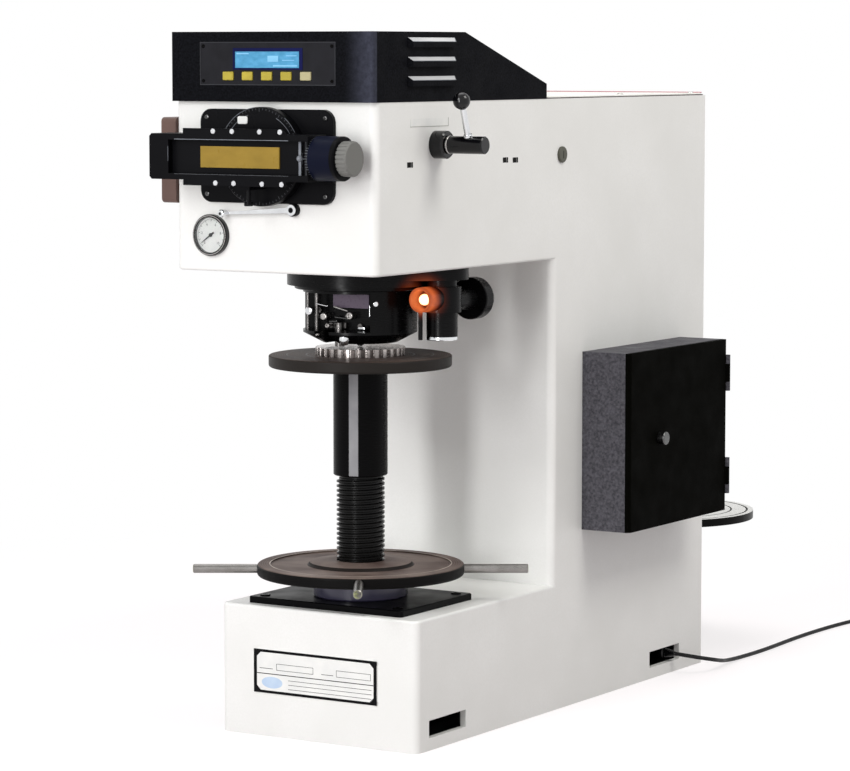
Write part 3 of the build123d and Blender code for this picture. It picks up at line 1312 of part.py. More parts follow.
with BuildPart() as main_lever:
    with BuildSketch(facing_right(-BEAM_WIDTH / 2)):
        with Locations(((FULCRUM_Y - 22 + HANGER_Y + 17) / 2, BEAM_MID)):
            RectangleRounded(HANGER_Y - FULCRUM_Y + 39, BEAM_HEIGHT, 6)
        with Locations((FULCRUM_Y, BEAM_MID)):
            Circle(FULCRUM_R + RUNNING_FIT, mode=Mode.SUBTRACT)
        with Locations((HANGER_Y, BEAM_MID)):
            Circle(HANGER_PIN_R + RUNNING_FIT, mode=Mode.SUBTRACT)
    extrude(amount=BEAM_WIDTH)
main_lever.part.label = "main_lever"
export_step(main_lever.part, "parts/main_lever.step")

with BuildPart() as weight_hanger:
    with BuildSketch(facing_right(BEAM_WIDTH / 2 + LEVER_GAP)):
        with Locations((HANGER_Y, BEAM_MID)):
            Circle(13)
        with Locations((HANGER_Y, (BEAM_MID + BEAM_BOTTOM - 20) / 2)):
            Rectangle(26, BEAM_MID - BEAM_BOTTOM + 20)
    extrude(amount=HANGER_FORK)
    mirror(about=Plane.YZ)
    with BuildSketch(level(BEAM_BOTTOM - 20)):
        with Locations((0, HANGER_Y)):
            Rectangle(BEAM_WIDTH + 2 * LEVER_GAP + 2 * HANGER_FORK, 26)
    extrude(amount=10)
    with BuildSketch(facing_right(-BEAM_WIDTH / 2 - LEVER_GAP)):
        with Locations((HANGER_Y, BEAM_MID)):
            Circle(HANGER_PIN_R)
    extrude(amount=BEAM_WIDTH + 2 * LEVER_GAP)
    with BuildSketch(level(PAN_TOP)):
        with Locations((0, HANGER_Y)):
            Circle(HANGER_R)
    extrude(amount=BEAM_BOTTOM - 20 - PAN_TOP)
    with BuildSketch(level(PAN_TOP - PAN_THICK)):
        with Locations((0, HANGER_Y)):
            Circle(PAN_R)
    extrude(amount=PAN_THICK)
    with BuildSketch(level(PAN_TOP)):
        with Locations((0, HANGER_Y)):
            Circle(PAN_R - 7)
            Circle(PAN_R - 9.5, mode=Mode.SUBTRACT)
            Circle(PAN_R - 28)
            Circle(PAN_R - 30, mode=Mode.SUBTRACT)
            Circle(HANGER_R + 12)
            Circle(HANGER_R + 10, mode=Mode.SUBTRACT)
    extrude(amount=-1.2, mode=Mode.SUBTRACT)
weight_hanger.part.label = "weight_hanger"
export_step(weight_hanger.part, "parts/weight_hanger.step")

with BuildPart() as lifting_rod:
    with BuildSketch(level(LIFT_BOTTOM)):
        with Locations((0, LIFT_Y)):
            Circle(LIFT_R)
    extrude(amount=BEAM_BOTTOM - LIFT_GAP - LIFT_BOTTOM)
    chamfer(lifting_rod.faces().sort_by(Axis.Z)[-1].edges(), LIFT_R * 0.6)
lifting_rod.part.label = "lifting_rod"
export_step(lifting_rod.part, "parts/lifting_rod.step")

SHELF_MID_Y = THROAT + SHELF_SETBACK + SHELF_DEPTH / 2
with BuildPart() as lifting_motor:
    with BuildSketch(level(MOTOR_SHELF)):
        with Locations((0, SHELF_MID_Y)):
            Rectangle(BODY_WIDTH - 2 * WALL, SHELF_DEPTH)
    extrude(amount=-SHELF_THICK)
    with BuildSketch(level(MOTOR_SHELF)):
        with Locations((0, LIFT_Y)):
            RectangleRounded(GEARBOX, GEARBOX, 6)
    extrude(amount=GEARBOX_HEIGHT)
    with BuildSketch(facing_front(LIFT_Y + GEARBOX / 2)):
        with Locations((0, MOTOR_SHELF + MOTOR_R - MOTOR_SINK)):
            Circle(MOTOR_R)
    extrude(amount=-MOTOR_LENGTH)
    with BuildSketch(level(MOTOR_SHELF - SHELF_THICK)):
        with Locations((0, LIFT_Y)):
            Circle(LIFT_R + RUNNING_FIT)
    extrude(amount=SHELF_THICK + GEARBOX_HEIGHT + MOTOR_SINK, mode=Mode.SUBTRACT)
lifting_motor.part.label = "lifting_motor"
export_step(lifting_motor.part, "parts/lifting_motor.step")


# ==================================================================================================
# Storage cabinet on the right side of the column
# ==================================================================================================
CABINET_MID_Y = (CABINET_FRONT + CABINET_REAR) / 2
CABINET_MID_Z = (CABINET_BOTTOM + CABINET_TOP) / 2
DOOR_BACK = HALF + CABINET_DEPTH + AIR
DOOR_FACE = DOOR_BACK + DOOR_THICK
HINGE_X = DOOR_FACE + 0.2
HINGE_Y = CABINET_REAR + HINGE_R + AIR
HINGE_HEIGHTS = (CABINET_BOTTOM + 43, CABINET_TOP - 42)

with BuildPart() as cabinet_box:
    with BuildSketch(facing_right(HALF)):
        with Locations((CABINET_MID_Y, CABINET_MID_Z)):
            Rectangle(CABINET_LENGTH, CABINET_HEIGHT)
    extrude(amount=CABINET_DEPTH)
    with BuildSketch(facing_right(HALF + CABINET_DEPTH)):
        with Locations((CABINET_MID_Y, CABINET_MID_Z)):
            Rectangle(CABINET_LENGTH - 2 * CABINET_SHEET, CABINET_HEIGHT - 2 * CABINET_SHEET)
    extrude(amount=CABINET_SHEET - CABINET_DEPTH, mode=Mode.SUBTRACT)
    with BuildSketch(facing_right(HALF + CABINET_SHEET)):
        with Locations((CABINET_MID_Y, CABINET_MID_Z)):
            Rectangle(CABINET_LENGTH - 2 * CABINET_SHEET, CABINET_SHEET)
    extrude(amount=CABINET_DEPTH - CABINET_SHEET - 6)
    for hinge_z in HINGE_HEIGHTS:
        for knuckle_top in (hinge_z - KNUCKLE / 2 - AIR, hinge_z + KNUCKLE + AIR):
            with BuildSketch(level(knuckle_top)):
                with Locations((HINGE_X, HINGE_Y)):
                    Circle(HINGE_R)
                with BuildLine():
                    Polyline(
                        (HALF + CABINET_DEPTH - 12, CABINET_REAR),
                        (HALF + CABINET_DEPTH, CABINET_REAR),
                        (HINGE_X, HINGE_Y + HINGE_R - 2.5),
                        (HINGE_X, HINGE_Y + HINGE_R),
                        (HALF + CABINET_DEPTH - 12, CABINET_REAR + 2.5),
                        close=True,
                    )
                make_face()
            extrude(amount=-KNUCKLE / 2)
        with BuildSketch(level(hinge_z - KNUCKLE / 2 - AIR)):
            with Locations((HINGE_X, HINGE_Y)):
                Circle(HINGE_PIN_R)
        extrude(amount=KNUCKLE + 2 * AIR)
cabinet_box.part.label = "cabinet_box"
export_step(cabinet_box.part, "parts/cabinet_box.step")

with BuildPart() as cabinet_door:
    with BuildSketch(facing_right(DOOR_BACK)):
        with Locations((CABINET_MID_Y, CABINET_MID_Z)):
            Rectangle(CABINET_LENGTH, CABINET_HEIGHT)
    extrude(amount=DOOR_THICK)
    chamfer(cabinet_door.edges().filter_by(Axis.Z).group_by(Axis.Y)[0].sort_by(Axis.X)[-1], DOOR_THICK * 0.7)
    for hinge_z in HINGE_HEIGHTS:
        with BuildSketch(level(hinge_z - KNUCKLE / 2)):
            with Locations((HINGE_X, HINGE_Y)):
                Circle(HINGE_R)
            with BuildLine():
                Polyline(
                    (DOOR_BACK, CABINET_REAR - 1),
                    (DOOR_FACE, CABINET_REAR - 1),
                    (HINGE_X + HINGE_R, HINGE_Y),
                    (HINGE_X - HINGE_R, HINGE_Y),
                    close=True,
                )
            make_face()
        extrude(amount=KNUCKLE)
        with BuildSketch(level(hinge_z - KNUCKLE / 2)):
            with Locations((HINGE_X, HINGE_Y)):
                Circle(HINGE_PIN_R + RUNNING_FIT)
        extrude(amount=KNUCKLE, mode=Mode.SUBTRACT)
    with BuildSketch(facing_right(DOOR_FACE)):
        with Locations((DOOR_KNOB_Y, CABINET_MID_Z)):
            Circle(KNOB_SHAFT_R + RUNNING_FIT)
    extrude(amount=-DOOR_THICK, mode=Mode.SUBTRACT)
cabinet_door.part.label = "cabinet_door"
export_step(cabinet_door.part, "parts/cabinet_door.step")

with BuildPart() as door_knob:
    with BuildSketch(facing_right(DOOR_FACE + AIR)):
        with Locations((DOOR_KNOB_Y, CABINET_MID_Z)):
            Circle(DOOR_KNOB_R)
    extrude(amount=9)
    fillet(door_knob.faces().sort_by(Axis.X)[-1].edges(), 1.5)
    with BuildSketch(facing_right(DOOR_FACE + AIR)):
        with Locations((DOOR_KNOB_Y, CABINET_MID_Z)):
            Circle(KNOB_SHAFT_R)
    extrude(amount=-DOOR_THICK - 2 * AIR)
    with BuildSketch(facing_right(DOOR_BACK - AIR)):
        with Locations((DOOR_KNOB_Y, CABINET_MID_Z)):
            SlotOverall(22, 9)
    extrude(amount=-3)
door_knob.part.label = "door_knob"
export_step(door_knob.part, "parts/door_knob.step")


# ==================================================================================================
# Name plate, mains inlet, lead and plug
# ==================================================================================================
with BuildPart() as nameplate:
    with BuildSketch(facing_front(BASE_FRONT)):
        with Locations((NAMEPLATE_X, NAMEPLATE_Z)):
            Rectangle(NAMEPLATE_LENGTH, NAMEPLATE_HEIGHT)
            with GridLocations(NAMEPLATE_LENGTH, NAMEPLATE_HEIGHT, 2, 2):
                Circle(NAMEPLATE_NOTCH, mode=Mode.SUBTRACT)
    extrude(amount=NAMEPLATE_THICK)
nameplate.part.label = "nameplate"
export_step(nameplate.part, "parts/nameplate.step")

with BuildPart() as cord_gland:
    with BuildSketch(facing_right(HALF - WALL)):
        with Locations((REAR_SLOT_Y, WALL + 15)):
            Rectangle(SLOT_LENGTH + 16, 28)
    extrude(amount=-3)
    with BuildSketch(facing_right(HALF - WALL - 6)):
        with Locations((GLAND_Y, GLAND_Z)):
            Circle(GLAND_R)
    extrude(amount=GLAND_END - HALF + WALL + 6, taper=4)
cord_gland.part.label = "cord_gland"
export_step(cord_gland.part, "parts/cord_gland.step")


def lead_radii(points):
    """Bend radius for each inner corner of a route: 0.45 of the shorter run over tan(half the turn)."""
    bends = []
    for before, corner, after in zip(points, points[1:], points[2:]):
        run_in = Vector(*corner) - Vector(*before)
        run_out = Vector(*after) - Vector(*corner)
        half_turn = radians(run_in.get_angle(run_out)) / 2
        bends.append(0.45 * min(run_in.length, run_out.length) / tan(half_turn))
    return bends


def lead_tube(points):
    """Round tube of the lead along straight runs joined by tangent arcs."""
    with BuildPart() as tube:
        with BuildLine() as route:
            FilletPolyline(*points, radius=lead_radii(points))
        path = route.wires()[0]
        with BuildSketch(Plane(origin=path @ 0, z_dir=path % 0)):
            Circle(CORD_R)
        sweep(path=path)
    print("lead radii", [round(bend, 1) for bend in lead_radii(points)])
    print("lead length", round(path.length, 1))
    print("section x length", round(pi * CORD_R**2 * path.length), "volume", round(tube.part.volume))
    return tube


LEAD_ROUTE = [
    (GLAND_END, GLAND_Y, GLAND_Z),
    (162.5, 512, 22.5),
    (179, 530, 18),
    (177, 561, 11.5),
    (167, 595, 5.5),
    (164, 637, CORD_R + 0.1),
    (166, 694, CORD_R + 0.1),
    (164, 745, CORD_R + 0.1),
    (161, 800, CORD_R + 0.1),
    (160, 862, CORD_R + 0.1),
    (162, 925, CORD_R + 0.1),
    (168, 985, CORD_R + 0.1),
    (COIL_X - COIL_MEAN_R, COIL_Y - 0.8 * COIL_MEAN_R, CORD_R + 0.1),
]
mains_cord = lead_tube(LEAD_ROUTE)
mains_cord.part.label = "mains_cord"
export_step(mains_cord.part, "parts/mains_cord.step")

with BuildPart() as cord_coil:
    with BuildSketch(level(0)):
        with Locations((COIL_X, COIL_Y)):
            Circle(COIL_MEAN_R + COIL_WIDTH / 2)
            Circle(COIL_MEAN_R - COIL_WIDTH / 2, mode=Mode.SUBTRACT)
    extrude(amount=COIL_HEIGHT)
    fillet(cord_coil.edges().group_by(Axis.Z)[-1], 3)
cord_coil.part.label = "cord_coil"
export_step(cord_coil.part, "parts/cord_coil.step")

PLUG_AXIS_X = COIL_X + COIL_MEAN_R
RELIEF_END = COIL_Y - ((COIL_MEAN_R + COIL_WIDTH / 2) ** 2 - COIL_MEAN_R**2) ** 0.5
PLUG_BACK = RELIEF_END - 22
with BuildPart() as mains_plug:
    with BuildSketch(facing_front(PLUG_BACK)):
        with Locations((PLUG_AXIS_X, MAINS_PLUG_R)):
            Circle(MAINS_PLUG_R)
    extrude(amount=MAINS_PLUG_LENGTH)
    chamfer(mains_plug.faces().sort_by(Axis.Y)[-1].edges(), MAINS_PLUG_R / 2)
    with BuildSketch(facing_front(PLUG_BACK)):
        with Locations((PLUG_AXIS_X, MAINS_PLUG_R)):
            Circle(2 * CORD_R)
    extrude(amount=PLUG_BACK - RELIEF_END, taper=3)
    with BuildSketch(facing_front(PLUG_BACK - MAINS_PLUG_LENGTH)):
        with Locations((PLUG_AXIS_X, MAINS_PLUG_R)):
            with GridLocations(MAINS_PIN_PITCH, 1, 2, 1):
                Circle(MAINS_PIN_R)
    extrude(amount=MAINS_PIN_LENGTH)
    chamfer(mains_plug.faces().sort_by(Axis.Y)[0:2].edges(), 0.8)
mains_plug.part.label = "mains_plug"
export_step(mains_plug.part, "parts/mains_plug.step")
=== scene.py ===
"""Looks of the Brinell hardness tester: finishes, cut thread, dial and drum marks, screws, lead and studio."""

import logging
import math
from dataclasses import dataclass
from enum import Enum
from typing import ClassVar

import bmesh
import bpy
from mathutils import Matrix, Vector


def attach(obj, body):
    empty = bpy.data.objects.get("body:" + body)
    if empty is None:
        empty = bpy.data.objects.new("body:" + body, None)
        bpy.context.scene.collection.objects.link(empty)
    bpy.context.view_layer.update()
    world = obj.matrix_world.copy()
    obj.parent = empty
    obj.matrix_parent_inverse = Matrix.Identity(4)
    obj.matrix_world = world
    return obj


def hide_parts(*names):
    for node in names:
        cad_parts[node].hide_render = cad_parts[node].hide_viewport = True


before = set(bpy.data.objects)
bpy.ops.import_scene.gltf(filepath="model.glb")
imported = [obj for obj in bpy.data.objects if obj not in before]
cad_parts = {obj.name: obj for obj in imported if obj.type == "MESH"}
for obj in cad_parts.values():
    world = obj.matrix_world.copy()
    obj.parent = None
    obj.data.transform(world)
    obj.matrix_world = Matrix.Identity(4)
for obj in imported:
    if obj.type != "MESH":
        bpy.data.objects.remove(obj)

LOG = logging.getLogger("hardness_tester")
MM = 0.001
MILLIMETRES = Matrix.Scale(MM, 4)
WHITE = (1, 1, 1, 1)
Point = tuple[float, float, float]
Flat = tuple[float, float]
Socket = bpy.types.NodeSocket
Tone = tuple | Socket


class Body(str, Enum):
    """Moving bodies that the dressed pieces ride on."""

    FRAME = "frame"
    SCREEN_HEAD = "screen_head"
    DRUM = "micrometer_drum"
    TURRET = "turret"
    SCREW = "screw_table"
    WHEEL = "handwheel"
    LEVER = "load_lever"
    FOCUS = "focus_lever"


class Facing(Enum):
    """Named work planes: where local x and local y point, and the side that a raised detail grows to."""

    FRONT = ((1, 0, 0), (0, 0, 1), (0, -1, 0))
    RIGHT = ((0, 1, 0), (0, 0, 1), (1, 0, 0))
    LEFT = ((0, -1, 0), (0, 0, 1), (-1, 0, 0))
    UP = ((1, 0, 0), (0, 1, 0), (0, 0, 1))
    DOWN = ((1, 0, 0), (0, -1, 0), (0, 0, -1))

    def place(self, x: float, y: float, z: float) -> Matrix:
        """Gives the matrix from local millimetres on this plane to the shared frame in metres.

        Args:
            x: Place of the local origin along x, in millimetres.
            y: Its place along y.
            z: Its place along z.

        Returns:
            The matrix, with its scale from millimetres to metres.
        """
        x_axis, y_axis, normal = (Vector(axis) for axis in self.value)
        turn = Matrix((x_axis, y_axis, normal)).transposed().to_4x4()
        return Matrix.Translation(Vector((x, y, z)) * MM) @ turn @ Matrix.Scale(MM, 4)


def linear(*screen: int) -> tuple[float, ...]:
    """Turns a screen colour into the linear colour that a shader takes.

    Args:
        *screen: Red, green and blue, 0 to 255.

    Returns:
        The linear colour with full alpha.
    """
    shares = [value / 255 for value in screen]
    return (*[share / 12.92 if share <= 0.04045 else ((share + 0.055) / 1.055) ** 2.4 for share in shares], 1.0)


def polar(radius: float, turn: float, centre: Flat = (0, 0)) -> Flat:
    """Gives the point at a radius and a turn in radians round a centre."""
    return centre[0] + radius * math.cos(turn), centre[1] + radius * math.sin(turn)


# ---------------------------------------------------------------------------------------------------
# Finishes
# ---------------------------------------------------------------------------------------------------


def wire(tree: bpy.types.NodeTree, kind: str, inputs: dict, out: str | int = 0, **settings: str) -> Socket:
    """Adds a shader node with its settings, values and links.

    Args:
        tree: Node tree to add to.
        kind: Type of node, without the opening that all shader nodes share.
        inputs: Value or socket for each input, by name or number.
        out: Output wanted, by name or number.
        **settings: Settings of the node itself.

    Returns:
        The output's socket.
    """
    node = tree.nodes.new("ShaderNode" + kind)
    for name, value in settings.items():
        setattr(node, name, value)
    for name, value in inputs.items():
        if isinstance(value, Socket):
            tree.links.new(value, node.inputs[name])
        else:
            node.inputs[name].default_value = value
    return node.outputs[out]


def looked_at(tree: bpy.types.NodeTree) -> Socket:
    """Gives 1 where something is seen straight, in a gloss or through glass, and 0 for light that only lights.

    Args:
        tree: Node tree to add to.

    Returns:
        The socket.
    """
    seen = wire(tree, "LightPath", {}, "Is Camera Ray")
    for name in ("Is Glossy Ray", "Is Transmission Ray"):
        seen = wire(tree, "Math", {0: seen, 1: wire(tree, "LightPath", {}, name)}, operation="MAXIMUM")
    return seen


class Sheet:
    """A new node material and the few node layouts that the finishes share."""

    def __init__(self, name: str) -> None:
        """Starts the material with its output and one surface shader.

        Args:
            name: Name of the material.
        """
        self.material = bpy.data.materials.new(name)
        self.material.use_nodes = True
        self.tree = self.material.node_tree
        self.tree.nodes.clear()
        self.output = self.tree.nodes.new("ShaderNodeOutputMaterial")
        self.shader = self.tree.nodes.new("ShaderNodeBsdfPrincipled")
        self.tree.links.new(self.shader.outputs[0], self.output.inputs["Surface"])
        self.space = self.add("TexCoord", {}, "Object")
        self.normal = self.add("TexCoord", {}, "Normal")

    def add(self, kind: str, inputs: dict, out: str | int = 0, **settings: str) -> Socket:
        """Adds a node to the sheet."""
        return wire(self.tree, kind, inputs, out, **settings)

    def put(self, **inputs: float | tuple | Socket) -> None:
        """Sets or links the surface shader's inputs.

        Args:
            **inputs: Value or socket for each input, underscores standing for blanks.
        """
        for name, value in inputs.items():
            socket = self.shader.inputs[name.replace("_", " ")]
            if isinstance(value, Socket):
                self.tree.links.new(value, socket)
            else:
                socket.default_value = value

    def noise(self, scale: float, detail: float = 3.0, stretch: Point = (1, 1, 1)) -> Socket:
        """Adds a noise over the object's own space.

        Args:
            scale: Lumps per metre.
            detail: Layers of finer noise.
            stretch: Factors on x, y and z, above 1 for finer grain along that axis.

        Returns:
            The noise's socket.
        """
        stretched = self.add("Mapping", {"Vector": self.space, "Scale": stretch})
        return self.add("TexNoise", {"Vector": stretched, "Scale": scale, "Detail": detail}, "Fac")

    def rise(
        self, value: Socket, low: float, high: float, start: float = 0.0, end: float = 1.0, way: str = "SMOOTHSTEP"
    ) -> Socket:
        """Goes from one level to another while a value goes from low to high.

        Args:
            value: Value that drives the change.
            low: Value where the change starts.
            high: Value where it ends.
            start: Level at and below low.
            end: Level at and above high.
            way: Blender's name for the way between the levels.

        Returns:
            The level's socket.
        """
        ends = {"Value": value, "From Min": low, "From Max": high, "To Min": start, "To Max": end}
        return self.add("MapRange", ends, "Result", interpolation_type=way)

    def spread(self, factor: Socket, low: float, high: float) -> Socket:
        """Spreads a noise's middle range over low to high."""
        return self.rise(factor, 0.3, 0.7, low, high, "LINEAR")

    def clouds(self, scale: float, detail: float = 3.0, low: float = 0.0, high: float = 1.0) -> Socket:
        """Gives soft clouds from low to high."""
        return self.spread(self.noise(scale, detail), low, high)

    def two_tone(self, factor: Socket, first: Tone, second: Tone) -> Socket:
        """Mixes two colours, plain or from sockets, by the share of the second."""
        return self.add("Mix", {0: factor, 6: first, 7: second}, 2, data_type="RGBA")

    def axis(self, name: str, source: Socket | None = None) -> Socket:
        """Gives one axis of the object's own place, or of another vector."""
        return self.add("SeparateXYZ", {0: source or self.space}, name)

    def product(self, *values: float | Socket) -> Socket:
        """Multiplies values from left to right.

        Args:
            *values: Sockets, the first of them, or plain numbers.

        Returns:
            The product's socket.
        """
        result = values[0]
        for value in values[1:]:
            result = self.add("Math", {0: result, 1: value}, operation="MULTIPLY")
        return result

    def between(self, value: Socket, low: float, high: float, ease: float) -> Socket:
        """Gives 1 where a value lies between low and high, and 0 outside, eased at both ends."""
        return self.product(self.rise(value, low - ease, low), self.rise(value, high, high + ease, 1.0, 0.0))

    def reach(self, x: float, y: float, z: float | None = None) -> Socket:
        """Gives the distance in metres from a centre, or from a vertical axis where z is left out.

        Args:
            x: Centre's x in millimetres.
            y: Centre's y.
            z: Centre's z.

        Returns:
            The distance's socket.
        """
        place = self.space
        if z is None:
            place = self.add("VectorMath", {0: place, 1: (1, 1, 0)}, operation="MULTIPLY")
        return self.add("VectorMath", {0: place, 1: (x * MM, y * MM, (z or 0) * MM)}, "Value", operation="DISTANCE")

    def bump(self, height: Socket, strength: float, depth: float) -> None:
        """Roughens the surface shader's normal by a height of 0 to 1, with the relief's depth in metres."""
        self.put(Normal=self.add("Bump", {"Height": height, "Strength": strength, "Distance": depth}))


class Finish:
    """A named finish that makes its material once and hands it out again."""

    name: str
    _made: ClassVar[dict[str, bpy.types.Material]] = {}

    def material(self) -> bpy.types.Material:
        """Returns the finish's material, made on first use."""
        if self.name not in Finish._made:
            sheet = Sheet(self.name)
            self.lay(sheet)
            Finish._made[self.name] = sheet.material
        return Finish._made[self.name]

    def lay(self, sheet: Sheet) -> None:
        """Lays the finish's nodes on its sheet."""
        raise NotImplementedError


@dataclass(frozen=True)
class SprayedPaint(Finish):
    """Sprayed enamel or powder coat, with its orange peel and faint clouding."""

    name: str
    colour: tuple
    shade: tuple
    roughness: float = 0.4
    peel: float = 900.0
    depth: float = 0.00012
    specular: float = 0.4
    clouding: ClassVar[Flat] = (9, 4)
    gloss: ClassVar[Point] = (30, -0.05, 0.06)
    relief: ClassVar[float] = 0.35

    def tint(self, sheet: Sheet) -> Socket:
        """Clouds the colour."""
        return sheet.two_tone(sheet.clouds(*self.clouding), self.colour, self.shade)

    def lay(self, sheet: Sheet) -> None:
        """Clouds the colour, varies the gloss a little and adds the fine relief."""
        scale, less, more = self.gloss
        rough = sheet.spread(sheet.noise(scale), self.roughness + less, self.roughness + more)
        sheet.put(Base_Color=self.tint(sheet), Roughness=rough, Specular_IOR_Level=self.specular)
        sheet.bump(sheet.noise(self.peel, 2), self.relief, self.depth)


@dataclass(frozen=True)
class MouldedPlastic(SprayedPaint):
    """Moulded plastic, film or rubber with a fine spark-eroded grain."""

    peel: float = 1400.0
    depth: float = 0.00005
    specular: float = 0.3
    clouding: ClassVar[Flat] = (50, 3)
    gloss: ClassVar[Point] = (90, -0.05, 0.08)
    relief: ClassVar[float] = 0.3


@dataclass(frozen=True)
class CasingEnamel(SprayedPaint):
    """Casing enamel on the outside, with painted shade darkening the inside that shows through the floor slots."""

    # Colour of the painted shade inside the walls.
    inside: tuple = (0.004, 0.004, 0.004, 1)
    half: float = 0.1245
    front: float = -0.084
    rear: float = 0.594
    low: float = 0.0015
    slot_top: float = 0.04
    ease: float = 0.0004

    def tint(self, sheet: Sheet) -> Socket:
        """Speckles the enamel finely and paints shade on what lies inside the walls near the floor."""
        grained = sheet.two_tone(sheet.clouds(420, 2, 0, 0.5), SprayedPaint.tint(self, sheet), self.shade)
        across = sheet.add("Math", {0: sheet.axis("X")}, operation="ABSOLUTE")
        # Painted shade mask: inside the walls, between front and rear, below the slot tops.
        shaded_inside = sheet.product(
            sheet.rise(across, self.half, self.half + self.ease, 1.0, 0.0),
            sheet.between(sheet.axis("Y"), self.front, self.rear, self.ease),
            sheet.between(sheet.axis("Z"), self.low, self.slot_top, self.ease),
        )
        return sheet.two_tone(shaded_inside, grained, self.inside)


@dataclass(frozen=True)
class CrackleCoat(Finish):
    """Textured powder coat: pebbled, with specks of light on its grains."""

    name: str
    colour: tuple
    grain: tuple
    roughness: float
    pebble: float
    depth: float
    specular: float
    # Colour of the painted sheen on the front face's right end, or none.
    painted_sheen: tuple | None = None
    sheen_span: Flat = (0.094, 0.131)
    frontmost: float = -0.172

    def lay(self, sheet: Sheet) -> None:
        """Tints the grains, raises them, and pales the front face towards its right edge with a painted sheen."""
        tint = sheet.two_tone(sheet.clouds(self.pebble * 0.8, 4), self.colour, self.grain)
        if self.painted_sheen:
            # Painted sheen: paler towards the front face's right edge, in soft patches.
            worn = sheet.product(
                sheet.rise(sheet.axis("X"), *self.sheen_span),
                sheet.rise(sheet.axis("Y"), self.frontmost, self.frontmost + 0.002, 1.0, 0.0),
                sheet.clouds(220, 4, 0.6, 1.0),
            )
            tint = sheet.two_tone(worn, tint, self.painted_sheen)
        rough = sheet.clouds(40, 3, self.roughness - 0.08, self.roughness + 0.1)
        sheet.put(Base_Color=tint, Roughness=rough, Specular_IOR_Level=self.specular)
        cells = sheet.add("TexVoronoi", {"Vector": sheet.space, "Scale": self.pebble}, "Distance", feature="SMOOTH_F1")
        sheet.bump(cells, 0.6, self.depth)


@dataclass(frozen=True)
class TurnedMetal(Finish):
    """Bare or plated metal with the fine lines of its machining."""

    name: str
    colour: tuple
    wear: tuple
    roughness: float = 0.25
    depth: float = 0.00004
    specular: float = 0.5
    clouding: ClassVar[Flat] = (35, 5)
    marks: ClassVar[tuple] = (160, 3, (1, 1, 30))
    gloss: ClassVar[Flat] = (-0.06, 0.1)
    relief: ClassVar[float] = 0.25
    metallic: ClassVar[float] = 1.0

    def lay(self, sheet: Sheet) -> None:
        """Lets the wear show in clouds and draws the machining lines into gloss and relief."""
        marks = sheet.noise(*self.marks)
        sheet.put(
            Base_Color=sheet.two_tone(sheet.clouds(*self.clouding), self.colour, self.wear),
            Roughness=sheet.spread(marks, self.roughness + self.gloss[0], self.roughness + self.gloss[1]),
            Metallic=self.metallic,
            Specular_IOR_Level=self.specular,
        )
        sheet.bump(marks, self.relief, self.depth)


@dataclass(frozen=True)
class BlackedSteel(TurnedMetal):
    """Oil-blacked steel with worn brownish clouds."""

    clouding: ClassVar[Flat] = (26, 6)
    marks: ClassVar[tuple] = (120, 3, (1, 1, 12))
    gloss: ClassVar[Flat] = (-0.08, 0.12)
    relief: ClassVar[float] = 0.35
    metallic: ClassVar[float] = 0.0


@dataclass(frozen=True)
class CastIron(BlackedSteel):
    """Bare grey iron with a metallic gloss."""

    metallic: ClassVar[float] = 0.6


@dataclass(frozen=True)
class LampLitSteel(BlackedSteel):
    """Blacked steel beside the lamp, with the lamp's orange light painted on as a glow that fades with distance."""

    full: float = 0.010
    fade: float = 0.028
    strength: float = 0.9
    source: Point = (99.65, -26.0, 500.0)
    hot: tuple = (1.0, 0.2, 0.05, 1)
    warm: tuple = (0.6, 0.04, 0.01, 1)

    def lay(self, sheet: Sheet) -> None:
        """Lays the blacked steel and paints the lamp's orange glow on as emission round its source."""
        BlackedSteel.lay(self, sheet)
        # Painted glow: full near the lamp, fading to none.
        near = sheet.rise(sheet.reach(*self.source), self.full, self.fade, 1.0, 0.0)
        power = sheet.product(near, near, sheet.clouds(90, 3, 0.7, 1.0), self.strength)
        sheet.put(Emission_Color=sheet.two_tone(near, self.warm, self.hot), Emission_Strength=power)


@dataclass(frozen=True)
class TurnedFace(Finish):
    """Turned disc: a worn face with fine rings and dark grooves, and another colour wherever it doesn't face up."""

    name: str
    face: tuple
    wear: tuple
    rim: tuple
    specular: float
    patches: float = 14.0
    roughness: float = 0.5
    centre: Flat = (0.0, 0.0)
    grooves: tuple[Flat, ...] = ()

    def rings(self, sheet: Sheet) -> Socket:
        """Adds the fine rings of a face turned about the disc's axis.

        Args:
            sheet: Sheet to add to.

        Returns:
            The rings' socket.
        """
        middle = (-self.centre[0] * MM, -self.centre[1] * MM, 0)
        moved = sheet.add("Mapping", {"Vector": sheet.space, "Location": middle})
        inputs = {"Vector": moved, "Scale": 120.0, "Distortion": 0.6, "Detail": 2.0}
        return sheet.add("TexWave", inputs, "Fac", wave_type="RINGS", rings_direction="Z")

    def lay(self, sheet: Sheet) -> None:
        """Wears the face in patches, darkens the grooves and colours all that doesn't face up."""
        rings = self.rings(sheet)
        face = sheet.two_tone(sheet.clouds(self.patches, 6), self.face, self.wear)
        for inner, outer in self.grooves:
            cut = sheet.between(sheet.reach(*self.centre), inner * MM, outer * MM, 0.0002)
            face = sheet.two_tone(cut, face, self.rim)
        up = sheet.rise(sheet.axis("Z", sheet.normal), 0.6, 0.9)
        sheet.put(
            Base_Color=sheet.two_tone(up, self.rim, face),
            Roughness=sheet.spread(rings, self.roughness - 0.05, self.roughness + 0.08),
            Specular_IOR_Level=self.specular,
        )
        sheet.bump(rings, 0.3, 0.00005)


